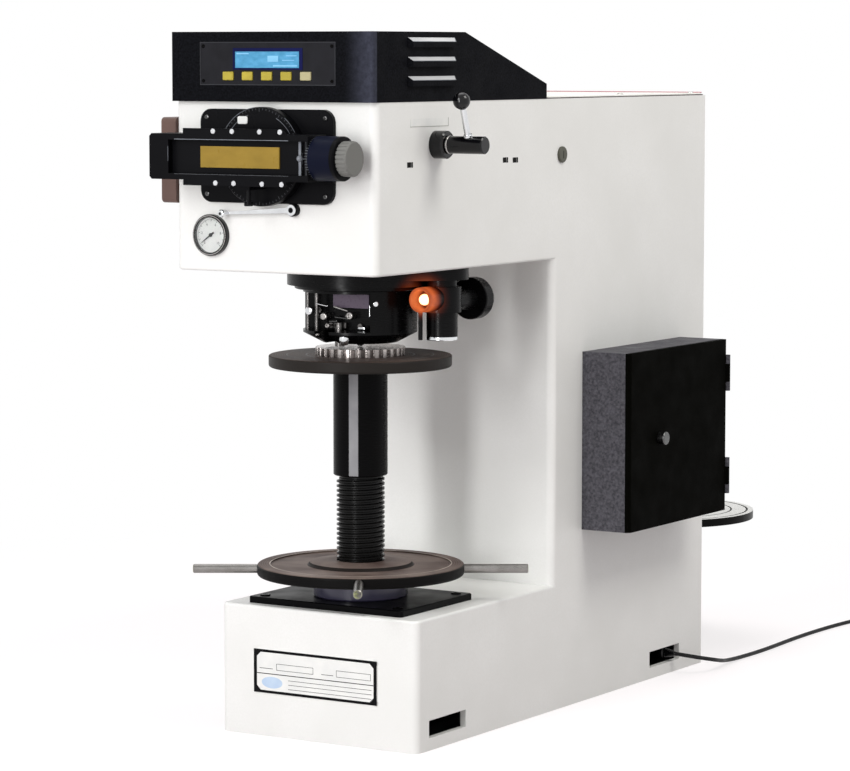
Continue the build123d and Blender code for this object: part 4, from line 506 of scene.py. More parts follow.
@dataclass(frozen=True)
class FlutedSteel(Finish):
    """Ground steel with upright flutes round its side, bright on their lands and dark between them."""

    name: str
    land: tuple
    valley: tuple
    flutes: float = 30.0

    def lay(self, sheet: Sheet) -> None:
        """Alternates land and valley round the axis, and clouds the top."""
        turn = sheet.add("TexGradient", {"Vector": sheet.space}, "Fac", gradient_type="RADIAL")
        swing = sheet.add("Math", {0: sheet.product(turn, self.flutes * 2), 1: 1.0}, operation="PINGPONG")
        side = sheet.rise(sheet.axis("Z", sheet.normal), 0.5, 0.8, 1.0, 0.0)
        dark = sheet.product(sheet.rise(swing, 0.3, 0.7), side)
        ground = sheet.two_tone(sheet.clouds(60, 4, 0, 0.35), self.land, self.valley)
        rough = sheet.clouds(160, 3, 0.18, 0.34)
        sheet.put(Base_Color=sheet.two_tone(dark, ground, self.valley), Roughness=rough, Metallic=1.0)
        sheet.bump(sheet.noise(400, 2), 0.15, 0.00003)


@dataclass(frozen=True)
class BandedDrum(Finish):
    """Micrometer drum in bands along its axis: navy barrel, black collar and knurled cap, the cap painted grey as the
    drum's cast shadow.
    """

    name: str
    barrel: tuple
    collar: tuple
    # Grey of the cap: a painted shadow, standing for the shade the drum casts.
    cap: tuple
    collar_from: float = 0.1082
    cap_from: float = 0.1134

    def lay(self, sheet: Sheet) -> None:
        """Sets the bands by their place along the drum's axis and knurls the whole."""
        bands = self.barrel
        for start, band in ((self.collar_from, self.collar), (self.cap_from, self.cap)):
            bands = sheet.two_tone(sheet.rise(sheet.axis("X"), start, start + 0.0003), bands, band)
        knurl = sheet.noise(300, 2, (0.25, 3, 3))
        sheet.put(Base_Color=bands, Roughness=sheet.spread(knurl, 0.36, 0.52), Specular_IOR_Level=0.06)
        sheet.bump(knurl, 0.5, 0.0002)


@dataclass(frozen=True)
class FittingMetal(Finish):
    """Fittings of the block's window: bright steel, with the cover plate in dark lacquer."""

    name: str
    steel: tuple
    tarnish: tuple
    plate: tuple
    plate_span: Flat = (-0.0215, 0.0275)
    plate_low: float = 0.4868
    ease: float = 0.0003

    def lay(self, sheet: Sheet) -> None:
        """Lays the lacquer where the cover plate is and clouded steel elsewhere."""
        across = sheet.between(sheet.axis("X"), *self.plate_span, self.ease)
        cover = sheet.product(across, sheet.rise(sheet.axis("Z"), self.plate_low, self.plate_low + self.ease))
        steel = sheet.two_tone(sheet.clouds(70, 4), self.steel, self.tarnish)
        sheet.put(
            Base_Color=sheet.two_tone(cover, steel, self.plate),
            Metallic=sheet.rise(cover, 0.2, 0.8, 1.0, 0.0),
            Roughness=sheet.clouds(200, 3, 0.22, 0.4),
            Specular_IOR_Level=0.3,
        )
        sheet.bump(sheet.noise(500, 2), 0.3, 0.00006)


@dataclass(frozen=True)
class ClearGlass(Finish):
    """Thin clear glass, with the faint waviness of a pressed pane."""

    name: str
    tint: tuple

    def lay(self, sheet: Sheet) -> None:
        """Sets glass that lets the light through, slightly wavy."""
        tint = sheet.two_tone(sheet.noise(25), self.tint, WHITE)
        sheet.put(Base_Color=tint, Roughness=sheet.clouds(60, 3, 0.01, 0.05), Transmission_Weight=1.0, IOR=1.45)
        sheet.bump(sheet.noise(70, 1), 0.1, 0.00005)


@dataclass(frozen=True)
class LitPane(Finish):
    """A lit pane behind glass: a screen or a display, brighter in places."""

    name: str
    colour: tuple
    glow: tuple
    strength: float
    roughness: float = 0.3
    patches: float = 60.0

    def lay(self, sheet: Sheet) -> None:
        """Lets the pane's own light vary in soft patches over its base colour."""
        patches = sheet.spread(sheet.noise(self.patches, 3, (1, 1, 2)), 0, 1)
        tint = sheet.two_tone(patches, self.colour, self.glow)
        rough = sheet.clouds(120, 3, self.roughness - 0.04, self.roughness + 0.04)
        sheet.put(Base_Color=tint, Emission_Color=tint, Roughness=rough)
        sheet.put(Emission_Strength=self.strength, Specular_IOR_Level=0.2)


@dataclass(frozen=True)
class GlowingBulb(Finish):
    """Frosted lamp envelope, white hot at its core and orange towards its rim."""

    name: str
    core: tuple
    rim: tuple
    strength: float

    def lay(self, sheet: Sheet) -> None:
        """Mixes core and rim by the envelope's own edge, and lights it."""
        edge = sheet.add("LayerWeight", {"Blend": 0.45}, "Facing")
        sheet.put(
            Emission_Color=sheet.two_tone(edge, self.core, self.rim),
            Base_Color=sheet.two_tone(sheet.noise(300), self.core, self.rim),
            Roughness=0.3,
            Emission_Strength=self.strength,
        )


WHITE_CASING = CasingEnamel("casing_white_enamel", linear(240, 240, 238), linear(231, 231, 228), 0.42, 700)
WHITE_COVER = SprayedPaint("cover_white_enamel", linear(238, 238, 234), linear(229, 229, 224), 0.45, 700)
BLACK_ENAMEL = SprayedPaint("black_enamel", linear(7, 7, 9), linear(13, 13, 16), 0.3, 1100, 0.0001, 0.07)
FLANGE_ENAMEL = SprayedPaint("flange_black_enamel", linear(6, 6, 7), linear(11, 11, 12), 0.34, 900, 0.0001, 0.05)
# Black bearing enamel with its colours lifted to a violet grey as a painted sheen.
BEARING_ENAMEL = SprayedPaint("bearing_black_violet_sheen", linear(62, 60, 82), linear(84, 80, 108), 0.2, 900, 0.0001, 0.5)
BRONZE_ENAMEL = SprayedPaint("selector_bronze_enamel", linear(102, 78, 70), linear(80, 60, 54), 0.36)
RIM_BLUE = SprayedPaint("display_rim_blue", linear(8, 12, 58), linear(14, 18, 70), 0.3, 900, 0.0001, 0.1)
# Bright colour of the painted highlights on the louvre lips.
LIP_BRIGHT = SprayedPaint("lip_painted_highlight", linear(214, 215, 217), linear(176, 178, 182), 0.4, 700)
# Its last colour is a painted sheen towards the right edge of the box's front.
HOOD_COAT = CrackleCoat(
    "hood_crackle_black", linear(7, 7, 9), linear(21, 22, 26), 0.5, 620, 0.0002, 0.02, linear(62, 64, 76)
)
CABINET_COAT = CrackleCoat("cabinet_crackle_violet", linear(58, 57, 62), linear(92, 91, 97), 0.5, 420, 0.0004, 0.08)
DOOR_COAT = CrackleCoat("door_crackle_black", linear(3, 3, 2), linear(8, 8, 6), 0.6, 520, 0.0001, 0.01)
PANEL_FILM = MouldedPlastic("panel_printed_film", linear(32, 32, 35), linear(38, 38, 42), 0.4, specular=0.05)
PANEL_GREY = MouldedPlastic("panel_border_grey", linear(54, 55, 60), linear(46, 47, 52))
BLACK_PLASTIC = MouldedPlastic("black_phenolic", linear(5, 5, 7), linear(9, 9, 11), 0.12, 1400, 0.00004, 0.34)
GREY_PLASTIC = MouldedPlastic("grey_plastic", linear(84, 84, 74), linear(70, 70, 61), 0.45)
# Dark for painted shade inside holes and the plug's slot.
HOLE_DARK = MouldedPlastic("painted_shade_for_holes", linear(10, 10, 9), linear(18, 18, 16), 0.6, 900, 0.00005, 0.1)
SEAL_DARK = MouldedPlastic("lid_seal_dark", linear(58, 42, 44), linear(40, 32, 34), 0.5)
TRIM_PINK = MouldedPlastic("lid_trim_pink", linear(196, 128, 136), linear(178, 112, 122), 0.45)
WHITE_PLASTIC = MouldedPlastic("dial_white", linear(238, 238, 236), linear(230, 230, 228))
KEY_YELLOW = MouldedPlastic("key_yellow", linear(184, 168, 62), linear(166, 150, 54), 0.42)
KEY_PALE = MouldedPlastic("key_pale", linear(184, 176, 136), linear(168, 160, 122), 0.42)
LABEL_FIELD = MouldedPlastic("label_white_field", linear(238, 238, 235), linear(228, 229, 227), 0.35)
LABEL_INK = MouldedPlastic("label_black_ink", linear(9, 9, 10), linear(18, 18, 20), 0.4, 1400, 0.00003, 0.06)
LABEL_BLUE = MouldedPlastic("label_pale_blue", linear(196, 214, 234), linear(172, 196, 226))
LABEL_EDGE = MouldedPlastic("legend_edge_pale", linear(176, 176, 168), linear(160, 160, 154))
# Dim grey for printed ticks and rings, and for the faint painted highlights of the recess.
MARK_GREY = MouldedPlastic("mark_dim_grey", linear(86, 88, 92), linear(70, 72, 76))
# Pale grey for painted edge highlights, and for the drum's graduations and the index.
EDGE_GREY = MouldedPlastic("edge_highlight_and_mark_grey", linear(128, 132, 138), linear(96, 100, 108), 0.35)
SCREW_PALE = MouldedPlastic("screw_bright_plate", linear(214, 216, 218), linear(188, 190, 194), 0.3)
GROOVE_PALE = MouldedPlastic("groove_worn_pale", linear(186, 172, 160), linear(120, 108, 100))
ROD_TIP = MouldedPlastic("rod_tip_plate", linear(176, 180, 138), linear(150, 154, 112), 0.3)
LEAD_RUBBER = MouldedPlastic("lead_rubber", linear(14, 14, 15), linear(24, 24, 26), 0.5, 900, 0.00005, 0.2)
CHROME = TurnedMetal("chrome_plate", (0.82, 0.83, 0.84, 1), (0.66, 0.67, 0.69, 1), 0.12)
STEEL = TurnedMetal("ground_steel", (0.56, 0.54, 0.52, 1), (0.36, 0.34, 0.33, 1), 0.26)
ROD_STEEL = TurnedMetal("rod_dull_steel", (0.3, 0.29, 0.28, 1), (0.18, 0.17, 0.16, 1), 0.3)
DARK_STEEL = TurnedMetal("small_dark_steel", (0.16, 0.16, 0.16, 1), (0.08, 0.08, 0.08, 1))
BRASS = TurnedMetal("brass_pin", (0.7, 0.52, 0.3, 1), (0.55, 0.38, 0.2, 1))
ANVIL_STEEL = FlutedSteel("anvil_fluted_steel", (0.62, 0.57, 0.55, 1), (0.1, 0.085, 0.08, 1))
BLACKED_SCREW = BlackedSteel("screw_blacked_steel", linear(4, 4, 5), linear(8, 7, 7), 0.24, 0.00002, 0.05)
# Pale steel of the painted highlight strip on the screw's shank.
SHANK_HIGHLIGHT = BlackedSteel(
    "shank_painted_highlight_steel", linear(150, 150, 152), linear(120, 120, 124), 0.42, 0.00002, 0.12
)
THREAD_STEEL = BlackedSteel("thread_oiled_steel", linear(5, 5, 6), linear(12, 11, 10), 0.24, 0.00006, 0.14)
TURRET_BLACK = BlackedSteel("turret_blacked_iron", linear(6, 6, 7), linear(13, 13, 14), 0.24, 0.00006, 0.1)
# Lamp housing, swing plate and objective carry a painted glow of the lamp.
LAMP_BLACK = LampLitSteel("lamp_housing_lit", linear(6, 6, 7), linear(13, 13, 14), 0.3, 0.00006, 0.1)
BESIDE_LAMP = LampLitSteel(
    "beside_lamp_lit", linear(6, 6, 7), linear(13, 13, 14), 0.26, 0.00006, 0.1, 0.012, 0.04, 0.4
)
IRON = CastIron("cast_iron_grey", (0.12, 0.12, 0.12, 1), (0.2, 0.19, 0.19, 1), 0.45, 0.00006, 0.3)
TABLE_STEEL = TurnedFace("table_browned_steel", linear(50, 42, 39), linear(78, 66, 60), linear(38, 35, 33), 0.08)
WHEEL_STEEL = TurnedFace(
    "wheel_browned_iron", linear(72, 58, 54), linear(124, 110, 103), linear(8, 7, 7), 0.07, 22.0
)
PAN_STEEL = TurnedFace(
    "pan_bright_iron",
    linear(214, 214, 212),
    linear(236, 236, 234),
    linear(10, 10, 10),
    0.06,
    roughness=0.35,
    centre=(0.0, 735.0),
    grooves=((110.5, 113.0), (90.0, 92.0)),
)
# The third colour, on the cap, is a painted shadow grey.
DRUM_BANDS = BandedDrum("drum_banded_enamel", linear(11, 15, 32), linear(6, 6, 8), linear(118, 118, 115))
WINDOW_METAL = FittingMetal("window_fittings", (0.2, 0.19, 0.185, 1), (0.07, 0.068, 0.066, 1), linear(106, 94, 110))
PANE_GLASS = ClearGlass("clear_pane", (0.96, 0.98, 0.97, 1))
SCREEN_AMBER = LitPane("screen_amber", linear(119, 97, 37), linear(130, 106, 42), 0.5, 0.3, 40)
DISPLAY_BLUE = LitPane("display_blue", linear(60, 122, 156), linear(76, 138, 174), 0.55, 0.25, 120)
READOUT_PALE = LitPane("readout_pale", linear(104, 158, 190), linear(116, 170, 200), 0.55)
LAMP_GLOW = GlowingBulb("lamp_glow", (1.0, 0.8, 0.5, 1), (1.0, 0.3, 0.06, 1), 2.6)


# ---------------------------------------------------------------------------------------------------
# Mesh work
# ---------------------------------------------------------------------------------------------------


class Forming:
    """Collects formed shapes in one mesh and turns them into a named piece on a body."""

    def __init__(self, name: str, finish: Finish) -> None:
        """Starts an empty piece with its name and finish."""
        self.name = name
        self.finish = finish
        self.mesh = bmesh.new()

    def skin(
        self, rows: list[list[Point]], place: Matrix, around: bool = True, loop: bool = False, caps: bool = True
    ) -> "Forming":
        """Joins rows of points with faces.

        Args:
            rows: Rows with as many points each, in local units.
            place: Matrix from local units to the shared frame.
            around: Whether each row's end joins its start.
            loop: Whether the last row joins the first.
            caps: Whether the first and last rows are closed with a face.

        Returns:
            The same piece, so that calls can follow on.
        """
        made = [[self.mesh.verts.new(place @ Vector(point)) for point in row] for row in rows]
        count = len(made[0])
        for first, second in zip(made, made[1:] + (made[:1] if loop else [])):
            for corner in range(count if around else count - 1):
                after = (corner + 1) % count
                self.mesh.faces.new((first[corner], first[after], second[after], second[corner]))
        if caps:
            self.mesh.faces.new(made[0][::-1])
            self.mesh.faces.new(made[-1])
        return self

    def lathe(self, profile: list[Flat], place: Matrix, steps: int = 48, caps: bool = True) -> "Forming":
        """Turns a profile of radius and height pairs, from bottom to top, about the local z axis.

        Args:
            profile: Radius and height pairs in local units.
            place: Matrix from local units to the shared frame.
            steps: Facets around.
            caps: Whether flat ends are closed with a face.

        Returns:
            The same piece.
        """
        turns = [2 * math.pi * step / steps for step in range(steps)]
        rows = [[(*polar(radius, turn), height) for turn in turns] for radius, height in profile]
        return self.skin(rows, place, caps=caps)

    def raised(self, outline: list[Flat], place: Matrix, height: float, base: float = 0.02) -> "Forming":
        """Raises a flat outline into a plate.

        Args:
            outline: Corners, counterclockwise, in local units.
            place: Matrix from local units to the shared frame.
            height: Height of the top face.
            base: Height of the bottom face.

        Returns:
            The same piece.
        """
        return self.skin([[(x, y, level) for x, y in outline] for level in (base, height)], place)

    def plates(
        self, rows: list[tuple[float, float, float, float]], place: Matrix, height: float, base: float = 0.02
    ) -> "Forming":
        """Raises rectangles, each given by its width, its height and its middle's x and y."""
        for width, tall, x, y in rows:
            self.raised(rectangle(width, tall, (x, y)), place, height, base)
        return self

    def framed(
        self, outer: list[Flat], inner: list[Flat], place: Matrix, height: float, base: float = 0.02
    ) -> "Forming":
        """Raises the band between two outlines with as many corners each.

        Args:
            outer: Outer corners, counterclockwise.
            inner: Inner corners in the same order.
            place: Matrix from local units to the shared frame.
            height: Height of the top face.
            base: Height of the bottom face.

        Returns:
            The same piece.
        """
        levels = ((outer, base), (outer, height), (inner, height), (inner, base))
        rows = [[(x, y, level) for x, y in outline] for outline, level in levels]
        return self.skin(rows, place, loop=True, caps=False)

    def ticks(
        self, marks: list[tuple[float, float, float]], outer: float, place: Matrix, height: float, base: float = 0.02
    ) -> "Forming":
        """Raises ticks that end at an outer radius, each given by its turn in degrees, its length and its width."""
        for turn, length, width in marks:
            spin = place @ Matrix.Rotation(math.radians(turn), 4, "Z")
            self.raised(rectangle(length, width, (outer - length / 2, 0)), spin, height, base)
        return self

    def arc(
        self, inner: float, outer: float, start: int, end: int, place: Matrix, height: float, base: float = 0.02
    ) -> "Forming":
        """Raises an arc in facets of two degrees.

        Args:
            inner: Inner radius.
            outer: Outer radius.
            start: First degree.
            end: Last degree.
            place: Matrix from local units to the shared frame.
            height: Height of the top face.
            base: Height of the bottom face.

        Returns:
            The same piece.
        """
        for low in range(start, end, 2):
            first, last = math.radians(low), math.radians(low + 2)
            corners = [polar(inner, first), polar(outer, first), polar(outer, last), polar(inner, last)]
            self.raised(corners, place, height, base)
        return self

    def bar(self, start: Point, end: Point, radius: float, steps: int = 16) -> "Forming":
        """Adds a round bar with eased ends between two points.

        Args:
            start: First end in millimetres.
            end: Second end in millimetres.
            radius: Radius in millimetres.
            steps: Facets around.

        Returns:
            The same piece.
        """
        first, second = Vector(start), Vector(end)
        length = (second - first).length
        turn = (second - first).to_track_quat("Z", "Y").to_matrix().to_4x4()
        ease = min(0.15 * length, 0.3 * radius)
        profile = [(radius - ease, 0), (radius, ease), (radius, length - ease), (radius - ease, length)]
        return self.lathe(profile, MILLIMETRES @ Matrix.Translation(first) @ turn, steps)

    def done(
        self, body: Body, bevel: float = 0.0, smooth: float = 40.0, replaces: tuple[str, ...] = ()
    ) -> bpy.types.Object:
        """Finishes the piece and sets it on its body.

        Args:
            body: Body that the piece rides on.
            bevel: Width of the eased edges in millimetres.
            smooth: Angle in degrees below which facets shade smoothly.
            replaces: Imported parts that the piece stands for.

        Returns:
            The finished piece.
        """
        bmesh.ops.recalc_face_normals(self.mesh, faces=self.mesh.faces)
        data = bpy.data.meshes.new(self.name)
        self.mesh.to_mesh(data)
        self.mesh.free()
        data.materials.append(self.finish.material())
        piece = stand(self.name, data)
        if bevel:
            eased = piece.modifiers.new("eased_edges", "BEVEL")
            eased.width = bevel * MM
            eased.segments = 2
            eased.limit_method = "ANGLE"
        data.shade_smooth()
        data.set_sharp_from_angle(angle=math.radians(smooth))
        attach(piece, body.value)
        if replaces:
            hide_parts(*replaces)
        LOG.info("piece %s rides on %s, %d faces", self.name, body.value, len(data.polygons))
        return piece


def stand(name: str, data: bpy.types.ID) -> bpy.types.Object:
    """Puts mesh, curve, light or camera data into the scene as an object."""
    item = bpy.data.objects.new(name, data)
    bpy.context.scene.collection.objects.link(item)
    return item


def rectangle(width: float, height: float, centre: Flat = (0, 0), notch: float = 0.0) -> list[Flat]:
    """Gives a rectangle's corners, counterclockwise, with its corners cut off by a notch.

    Args:
        width: Size along local x.
        height: Size along local y.
        centre: Middle of the rectangle.
        notch: Length cut off each corner.

    Returns:
        Four corners, or eight with a notch.
    """
    points = []
    for x, y in ((-1, -1), (1, -1), (1, 1), (-1, 1)):
        pair = [(x * width / 2, y * (height / 2 - notch)), (x * (width / 2 - notch), y * height / 2)]
        points += (pair if x == y else pair[::-1])[: 2 if notch else 1]
    return [(x + centre[0], y + centre[1]) for x, y in points]


def rounded(width: float, height: float, corner: float, centre: Flat = (0, 0), steps: int = 6) -> list[Flat]:
    """Gives a round-cornered rectangle's outline, counterclockwise.

    Args:
        width: Size along local x.
        height: Size along local y.
        corner: Corner radius.
        centre: Middle of the rectangle.
        steps: Facets per corner.

    Returns:
        The outline's points.
    """
    points = []
    for side_x, side_y, start in ((1, -1, -90), (1, 1, 0), (-1, 1, 90), (-1, -1, 180)):
        middle = (side_x * (width / 2 - corner) + centre[0], side_y * (height / 2 - corner) + centre[1])
        points += [polar(corner, math.radians(start + 90 * step / steps), middle) for step in range(steps + 1)]
    return points


def disc(radius: float, steps: int = 40) -> list[Flat]:
    """Gives a circle's outline, counterclockwise."""
    return [polar(radius, 2 * math.pi * step / steps) for step in range(steps)]


def band(radius: float, width: float, steps: int) -> tuple[list[Flat], list[Flat]]:
    """Gives the outer and inner outlines of a round band."""
    return disc(radius, steps), disc(radius - width, steps)


def screws(
    name: str, body: Body, facing: Facing, spots: list[Point], radius: float, finish: Finish, proud: float = 1.4
) -> bpy.types.Object:
    """Sets a row of domed, slotted screws as one piece.

    Args:
        name: Name of the piece.
        body: Body that carries the screws.
        facing: Way the heads face.
        spots: Places of the heads' undersides, in millimetres.
        radius: Radius of a head.
        finish: Finish of the heads.
        proud: Height of a head.

    Returns:
        The finished piece.
    """
    piece = Forming(name, finish)
    head = [(radius, -0.2), (radius, 0.45 * proud), (0.82 * radius, 0.85 * proud), (0.45 * radius, proud)]
    lands = [(1.5 * radius, 0.5 * radius, 0, side * 0.41 * radius) for side in (-1, 1)]
    for index, spot in enumerate(spots):
        place = facing.place(*spot) @ Matrix.Rotation(math.radians(25 + 50 * index), 4, "Z")
        piece.lathe(head, place, 20).plates(lands, place, 1.12 * proud, 0.7 * proud)
    return piece.done(body, smooth=50)


# ---------------------------------------------------------------------------------------------------
# Sub-assemblies
# ---------------------------------------------------------------------------------------------------


@dataclass
class Studio:
    """Pale floor, white surround, soft lamps and the camera."""

    eye: Point = (2.1224, -3.2758, 0.7755)
    yaw: float = 31.8596
    pitch: float = 5.5410
    lens: float = 3443.18 / 850 * 36
    floor_half: float = 7.0
    floor_near: float = 0.95
    floor_far: float = 1.55
    floor_lift: float = 0.56
    floor_tones: tuple = ((0.5, 0.465, 0.475, 1), (0.52, 0.485, 0.495, 1))
    surround: float = 0.52
    key_power: float = 50.0
    strip_power: float = 27.0
    side_power: float = 21.0
    top_power: float = 20.0

    def build_camera(self) -> None:
        """Sets the camera at its place and angle."""
        data = bpy.data.cameras.new("bench_camera")
        data.lens = self.lens
        data.sensor_width = 36
        data.clip_start = 0.05
        camera = stand("bench_camera", data)
        turn, fall = math.radians(self.yaw), math.radians(self.pitch)
        ahead = Vector((-math.sin(turn) * math.cos(fall), math.cos(turn) * math.cos(fall), -math.sin(fall)))
        camera.location = self.eye
        camera.rotation_euler = ahead.to_track_quat("-Z", "Y").to_euler()
        bpy.context.scene.camera = camera
        LOG.info("camera at %s", self.eye)

    def build_floor(self) -> None:
        """Lays the floor, which shows white and keeps the shadow."""
        half = self.floor_half
        data = bpy.data.meshes.new("studio_floor")
        corners = [(-half, -half, 0), (half, -half, 0), (half, half, 0), (-half, half, 0)]
        data.from_pydata(corners, [], [(0, 1, 2, 3)])
        data.materials.append(self.floor_material())
        floor = stand("studio_floor", data)

    def floor_material(self) -> bpy.types.Material:
        """Mixes a matt white floor with its own white for what looks straight at it.

        Returns:
            The floor's material.
        """
        sheet = Sheet("studio_paper")
        tone = sheet.two_tone(sheet.noise(3), *self.floor_tones)
        sheet.put(Base_Color=tone, Roughness=0.9, Specular_IOR_Level=0.1)
        seen = looked_at(sheet.tree)
        far = sheet.rise(sheet.reach(100, 250, 0), self.floor_near, self.floor_far)
        lift = sheet.add("Emission", {"Color": WHITE, "Strength": sheet.product(seen, self.floor_lift)})
        paper = sheet.add("AddShader", {0: sheet.shader.outputs[0], 1: lift})
        white = sheet.add("Emission", {"Color": WHITE, "Strength": 1.0})
        mix = sheet.add("MixShader", {0: sheet.product(seen, far), 1: paper, 2: white})
        sheet.tree.links.new(mix, sheet.output.inputs["Surface"])
        return sheet.material

    def build_surround(self) -> None:
        """Sets the world: an even pale light, white where it is looked at."""
        world = bpy.data.worlds.new("studio_surround")
        world.use_nodes = True
        tree = world.node_tree
        tree.nodes.clear()
        light, paper = (wire(tree, "Background", {"Color": WHITE, "Strength": power}) for power in (self.surround, 1.0))
        mix = wire(tree, "MixShader", {0: looked_at(tree), 1: light, 2: paper})
        tree.links.new(mix, tree.nodes.new("ShaderNodeOutputWorld").inputs["Surface"])
        bpy.context.scene.world = world

    def lamp(self, name: str, place: Point, aim: Point, size: Flat, power: float, tint: Point = (1, 1, 1)) -> None:
        """Hangs one soft lamp.

        Args:
            name: Name of the lamp.
            place: Place in metres.
            aim: Point that it is aimed at, in metres.
            size: Width and height of its face in metres.
            power: Power in watts.
            tint: Colour of its light.
        """
        data = bpy.data.lights.new(name, "AREA")
        data.shape = "RECTANGLE"
        data.size, data.size_y = size
        data.energy = power
        data.color = tint
        light = stand(name, data)
        light.location = place
        light.rotation_euler = (Vector(aim) - Vector(place)).to_track_quat("-Z", "Y").to_euler()

    def build(self) -> None:
        """Builds camera, floor, surround and lamps."""
        self.build_camera()
        self.build_floor()
        self.build_surround()
        self.lamp("front_lamp", (-0.5, -3.4, 2.3), (0, 0.0, 0.4), (1.4, 1.4), self.key_power)
        self.lamp("front_strip_lamp", (0.12, -2.7, 0.72), (0.02, 0.0, 0.62), (0.34, 1.3), self.strip_power)
        self.lamp("side_lamp", (1.5, 0.2, 2.1), (0, 0.25, 0.5), (0.9, 0.9), self.side_power, (1.0, 0.985, 0.94))
        self.lamp("top_lamp", (-0.6, 0.6, 3.0), (0, 0.2, 0.4), (2.0, 2.0), self.top_power)


@dataclass
class MainsLead:
    """Mains lead from the right rear slot to its put-away coil and plug."""

    radius: float = 2.5
    route: tuple[Point, ...] = (
        (138.0, 512.0, 24.0),
        (162.5, 512.0, 22.5),
        (179.0, 530.0, 18.0),
        (177.0, 561.0, 11.5),
        (167.0, 595.0, 5.5),
        (164.0, 637.0, 2.6),
        (166.0, 694.0, 2.6),
        (164.0, 745.0, 2.6),
        (161.0, 800.0, 2.6),
        (160.0, 862.0, 2.6),
        (162.0, 925.0, 2.6),
        (168.0, 985.0, 2.6),
        (177.5, 1028.0, 2.6),
    )
    coil_centre: Flat = (205.0, 1050.0)
    coil_mean: float = 27.5
    coil_low: float = 2.6
    layer: float = 4.9
    pitch: float = 5.0
    turns: float = 8.5
    lanes: tuple[int, ...] = (1, 0, -1, -1, 0, 1, 1, 0, -1)
    points_per_turn: int = 16
    change: float = 0.25
    plug_x: float = 232.5
    plug_z: float = 13.0
    relief_end: float = 1028.35
    plug_back: float = 1006.35
    plug_front: float = 972.35
    plug_ribs: Flat = (1000.0, 984.0)
    rib_reach: float = 11.9
    pin_end: float = 953.35
    pin_gap: float = 9.5

    def coil_points(self) -> list[Point]:
        """Gives the coil's turns, three side by side and three high, from the first inner turn up.

        Returns:
            Points in millimetres.
        """
        points = []
        last = len(self.lanes) - 1
        for step in range(1, int(self.turns * self.points_per_turn) + 1):
            done = step / self.points_per_turn
            whole = min(int(done), last)
            share = min(max((done - whole - 1 + self.change) / self.change, 0), 1) if whole < last else 0.0
            ease = share * share * (3 - 2 * share)
            lane = self.lanes[whole] + (self.lanes[min(whole + 1, last)] - self.lanes[whole]) * ease
            rise = whole // 3 + (ease if whole % 3 == 2 else 0.0)
            place = polar(self.coil_mean + lane * self.pitch, math.pi - 2 * math.pi * done, self.coil_centre)
            points.append((*place, self.coil_low + rise * self.layer))
        return points

    def build_lead(self) -> bpy.types.Object:
        """Draws the lead as one smooth spline over its route, its coil and the run into the plug's relief.

        Returns:
            The lead's curve.
        """
        curve = bpy.data.curves.new("mains_lead", "CURVE")
        curve.dimensions = "3D"
        curve.bevel_depth = self.radius * MM
        curve.bevel_resolution = 5
        curve.resolution_u = 6
        curve.use_fill_caps = True
        spline = curve.splines.new("NURBS")
        entry = [(self.plug_x, self.relief_end + 8, self.plug_z - 0.2), (self.plug_x, self.relief_end - 6, self.plug_z)]
        points = [*self.route, *self.coil_points(), *entry]
        spline.points.add(len(points) - 1)
        for control, point in zip(spline.points, points):
            control.co = (*[value * MM for value in point], 1.0)
        spline.order_u = 3
        spline.use_endpoint_u = True
        curve.materials.append(LEAD_RUBBER.material())
        lead = stand("mains_lead", curve)
        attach(lead, Body.FRAME.value)
        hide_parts("mains_cord", "cord_coil")
        LOG.info("piece mains_lead has %d points", len(points))
        return lead

    def build_gland(self) -> bpy.types.Object:
        """Turns the ribbed relief sleeve at the slot.

        Returns:
            The sleeve.
        """
        profile = [(7.4, 116), (7.4, 122), (6.4, 122.6)]
        for rib in range(5):
            at, radius = 123.4 + 2.6 * rib, 6.0 - 0.55 * rib
            profile += [(radius, at), (radius, at + 1.4), (radius - 0.9, at + 1.7), (radius - 0.9, at + 2.3)]
        profile += [(3.0, 136.8), (2.7, 137.9)]
        sleeve = Forming("gland_relief_sleeve", BLACK_PLASTIC)
        sleeve.lathe(profile, Facing.RIGHT.place(0, *self.route[0][1:]), 28)
        return sleeve.done(Body.FRAME, replaces=("cord_gland",))

    def build_plug(self) -> tuple[bpy.types.Object, bpy.types.Object]:
        """Turns the round mains plug with its ribbed relief and two pins.

        Returns:
            The plug's body and its pins.
        """
        x, z = self.plug_x, self.plug_z
        back, front = self.relief_end - self.plug_back, self.relief_end - self.plug_front
        profile = [(2.8, 0), (3.2, 0.4)]
        for rib in range(6):
            at, radius = 1.2 + 3.2 * rib, 3.6 + 0.35 * rib
            profile += [(radius, at), (radius, at + 1.8), (radius - 0.8, at + 2.1), (radius - 0.8, at + 2.9)]
        profile += [(8.6, back), (11.6, back + 1.5), (12.9, back + 5), (12.9, front - 3), (12.0, front)]
        plug = Forming("mains_plug_body", BLACK_PLASTIC)
        plug.lathe(profile, Facing.FRONT.place(x, self.relief_end, z), 36)
        for across, up in (polar(self.rib_reach, 2 * math.pi * rib / 10, (x, z)) for rib in range(10)):
            plug.bar((across, self.plug_ribs[0], up), (across, self.plug_ribs[1], up), 1.0, 10)
        body = plug.done(Body.FRAME, replaces=("mains_plug",))
        pins = Forming("mains_plug_pins", BRASS)
        for across in (x - self.pin_gap, x + self.pin_gap):
            pins.bar((across, self.plug_front + 3, z), (across, self.pin_end, z), 2.4, 20)
        return body, pins.done(Body.FRAME, replaces=("mains_plug",))

    def build(self) -> None:
        lead = self.build_lead()
        sleeve = self.build_gland()
        plug, pins = self.build_plug()


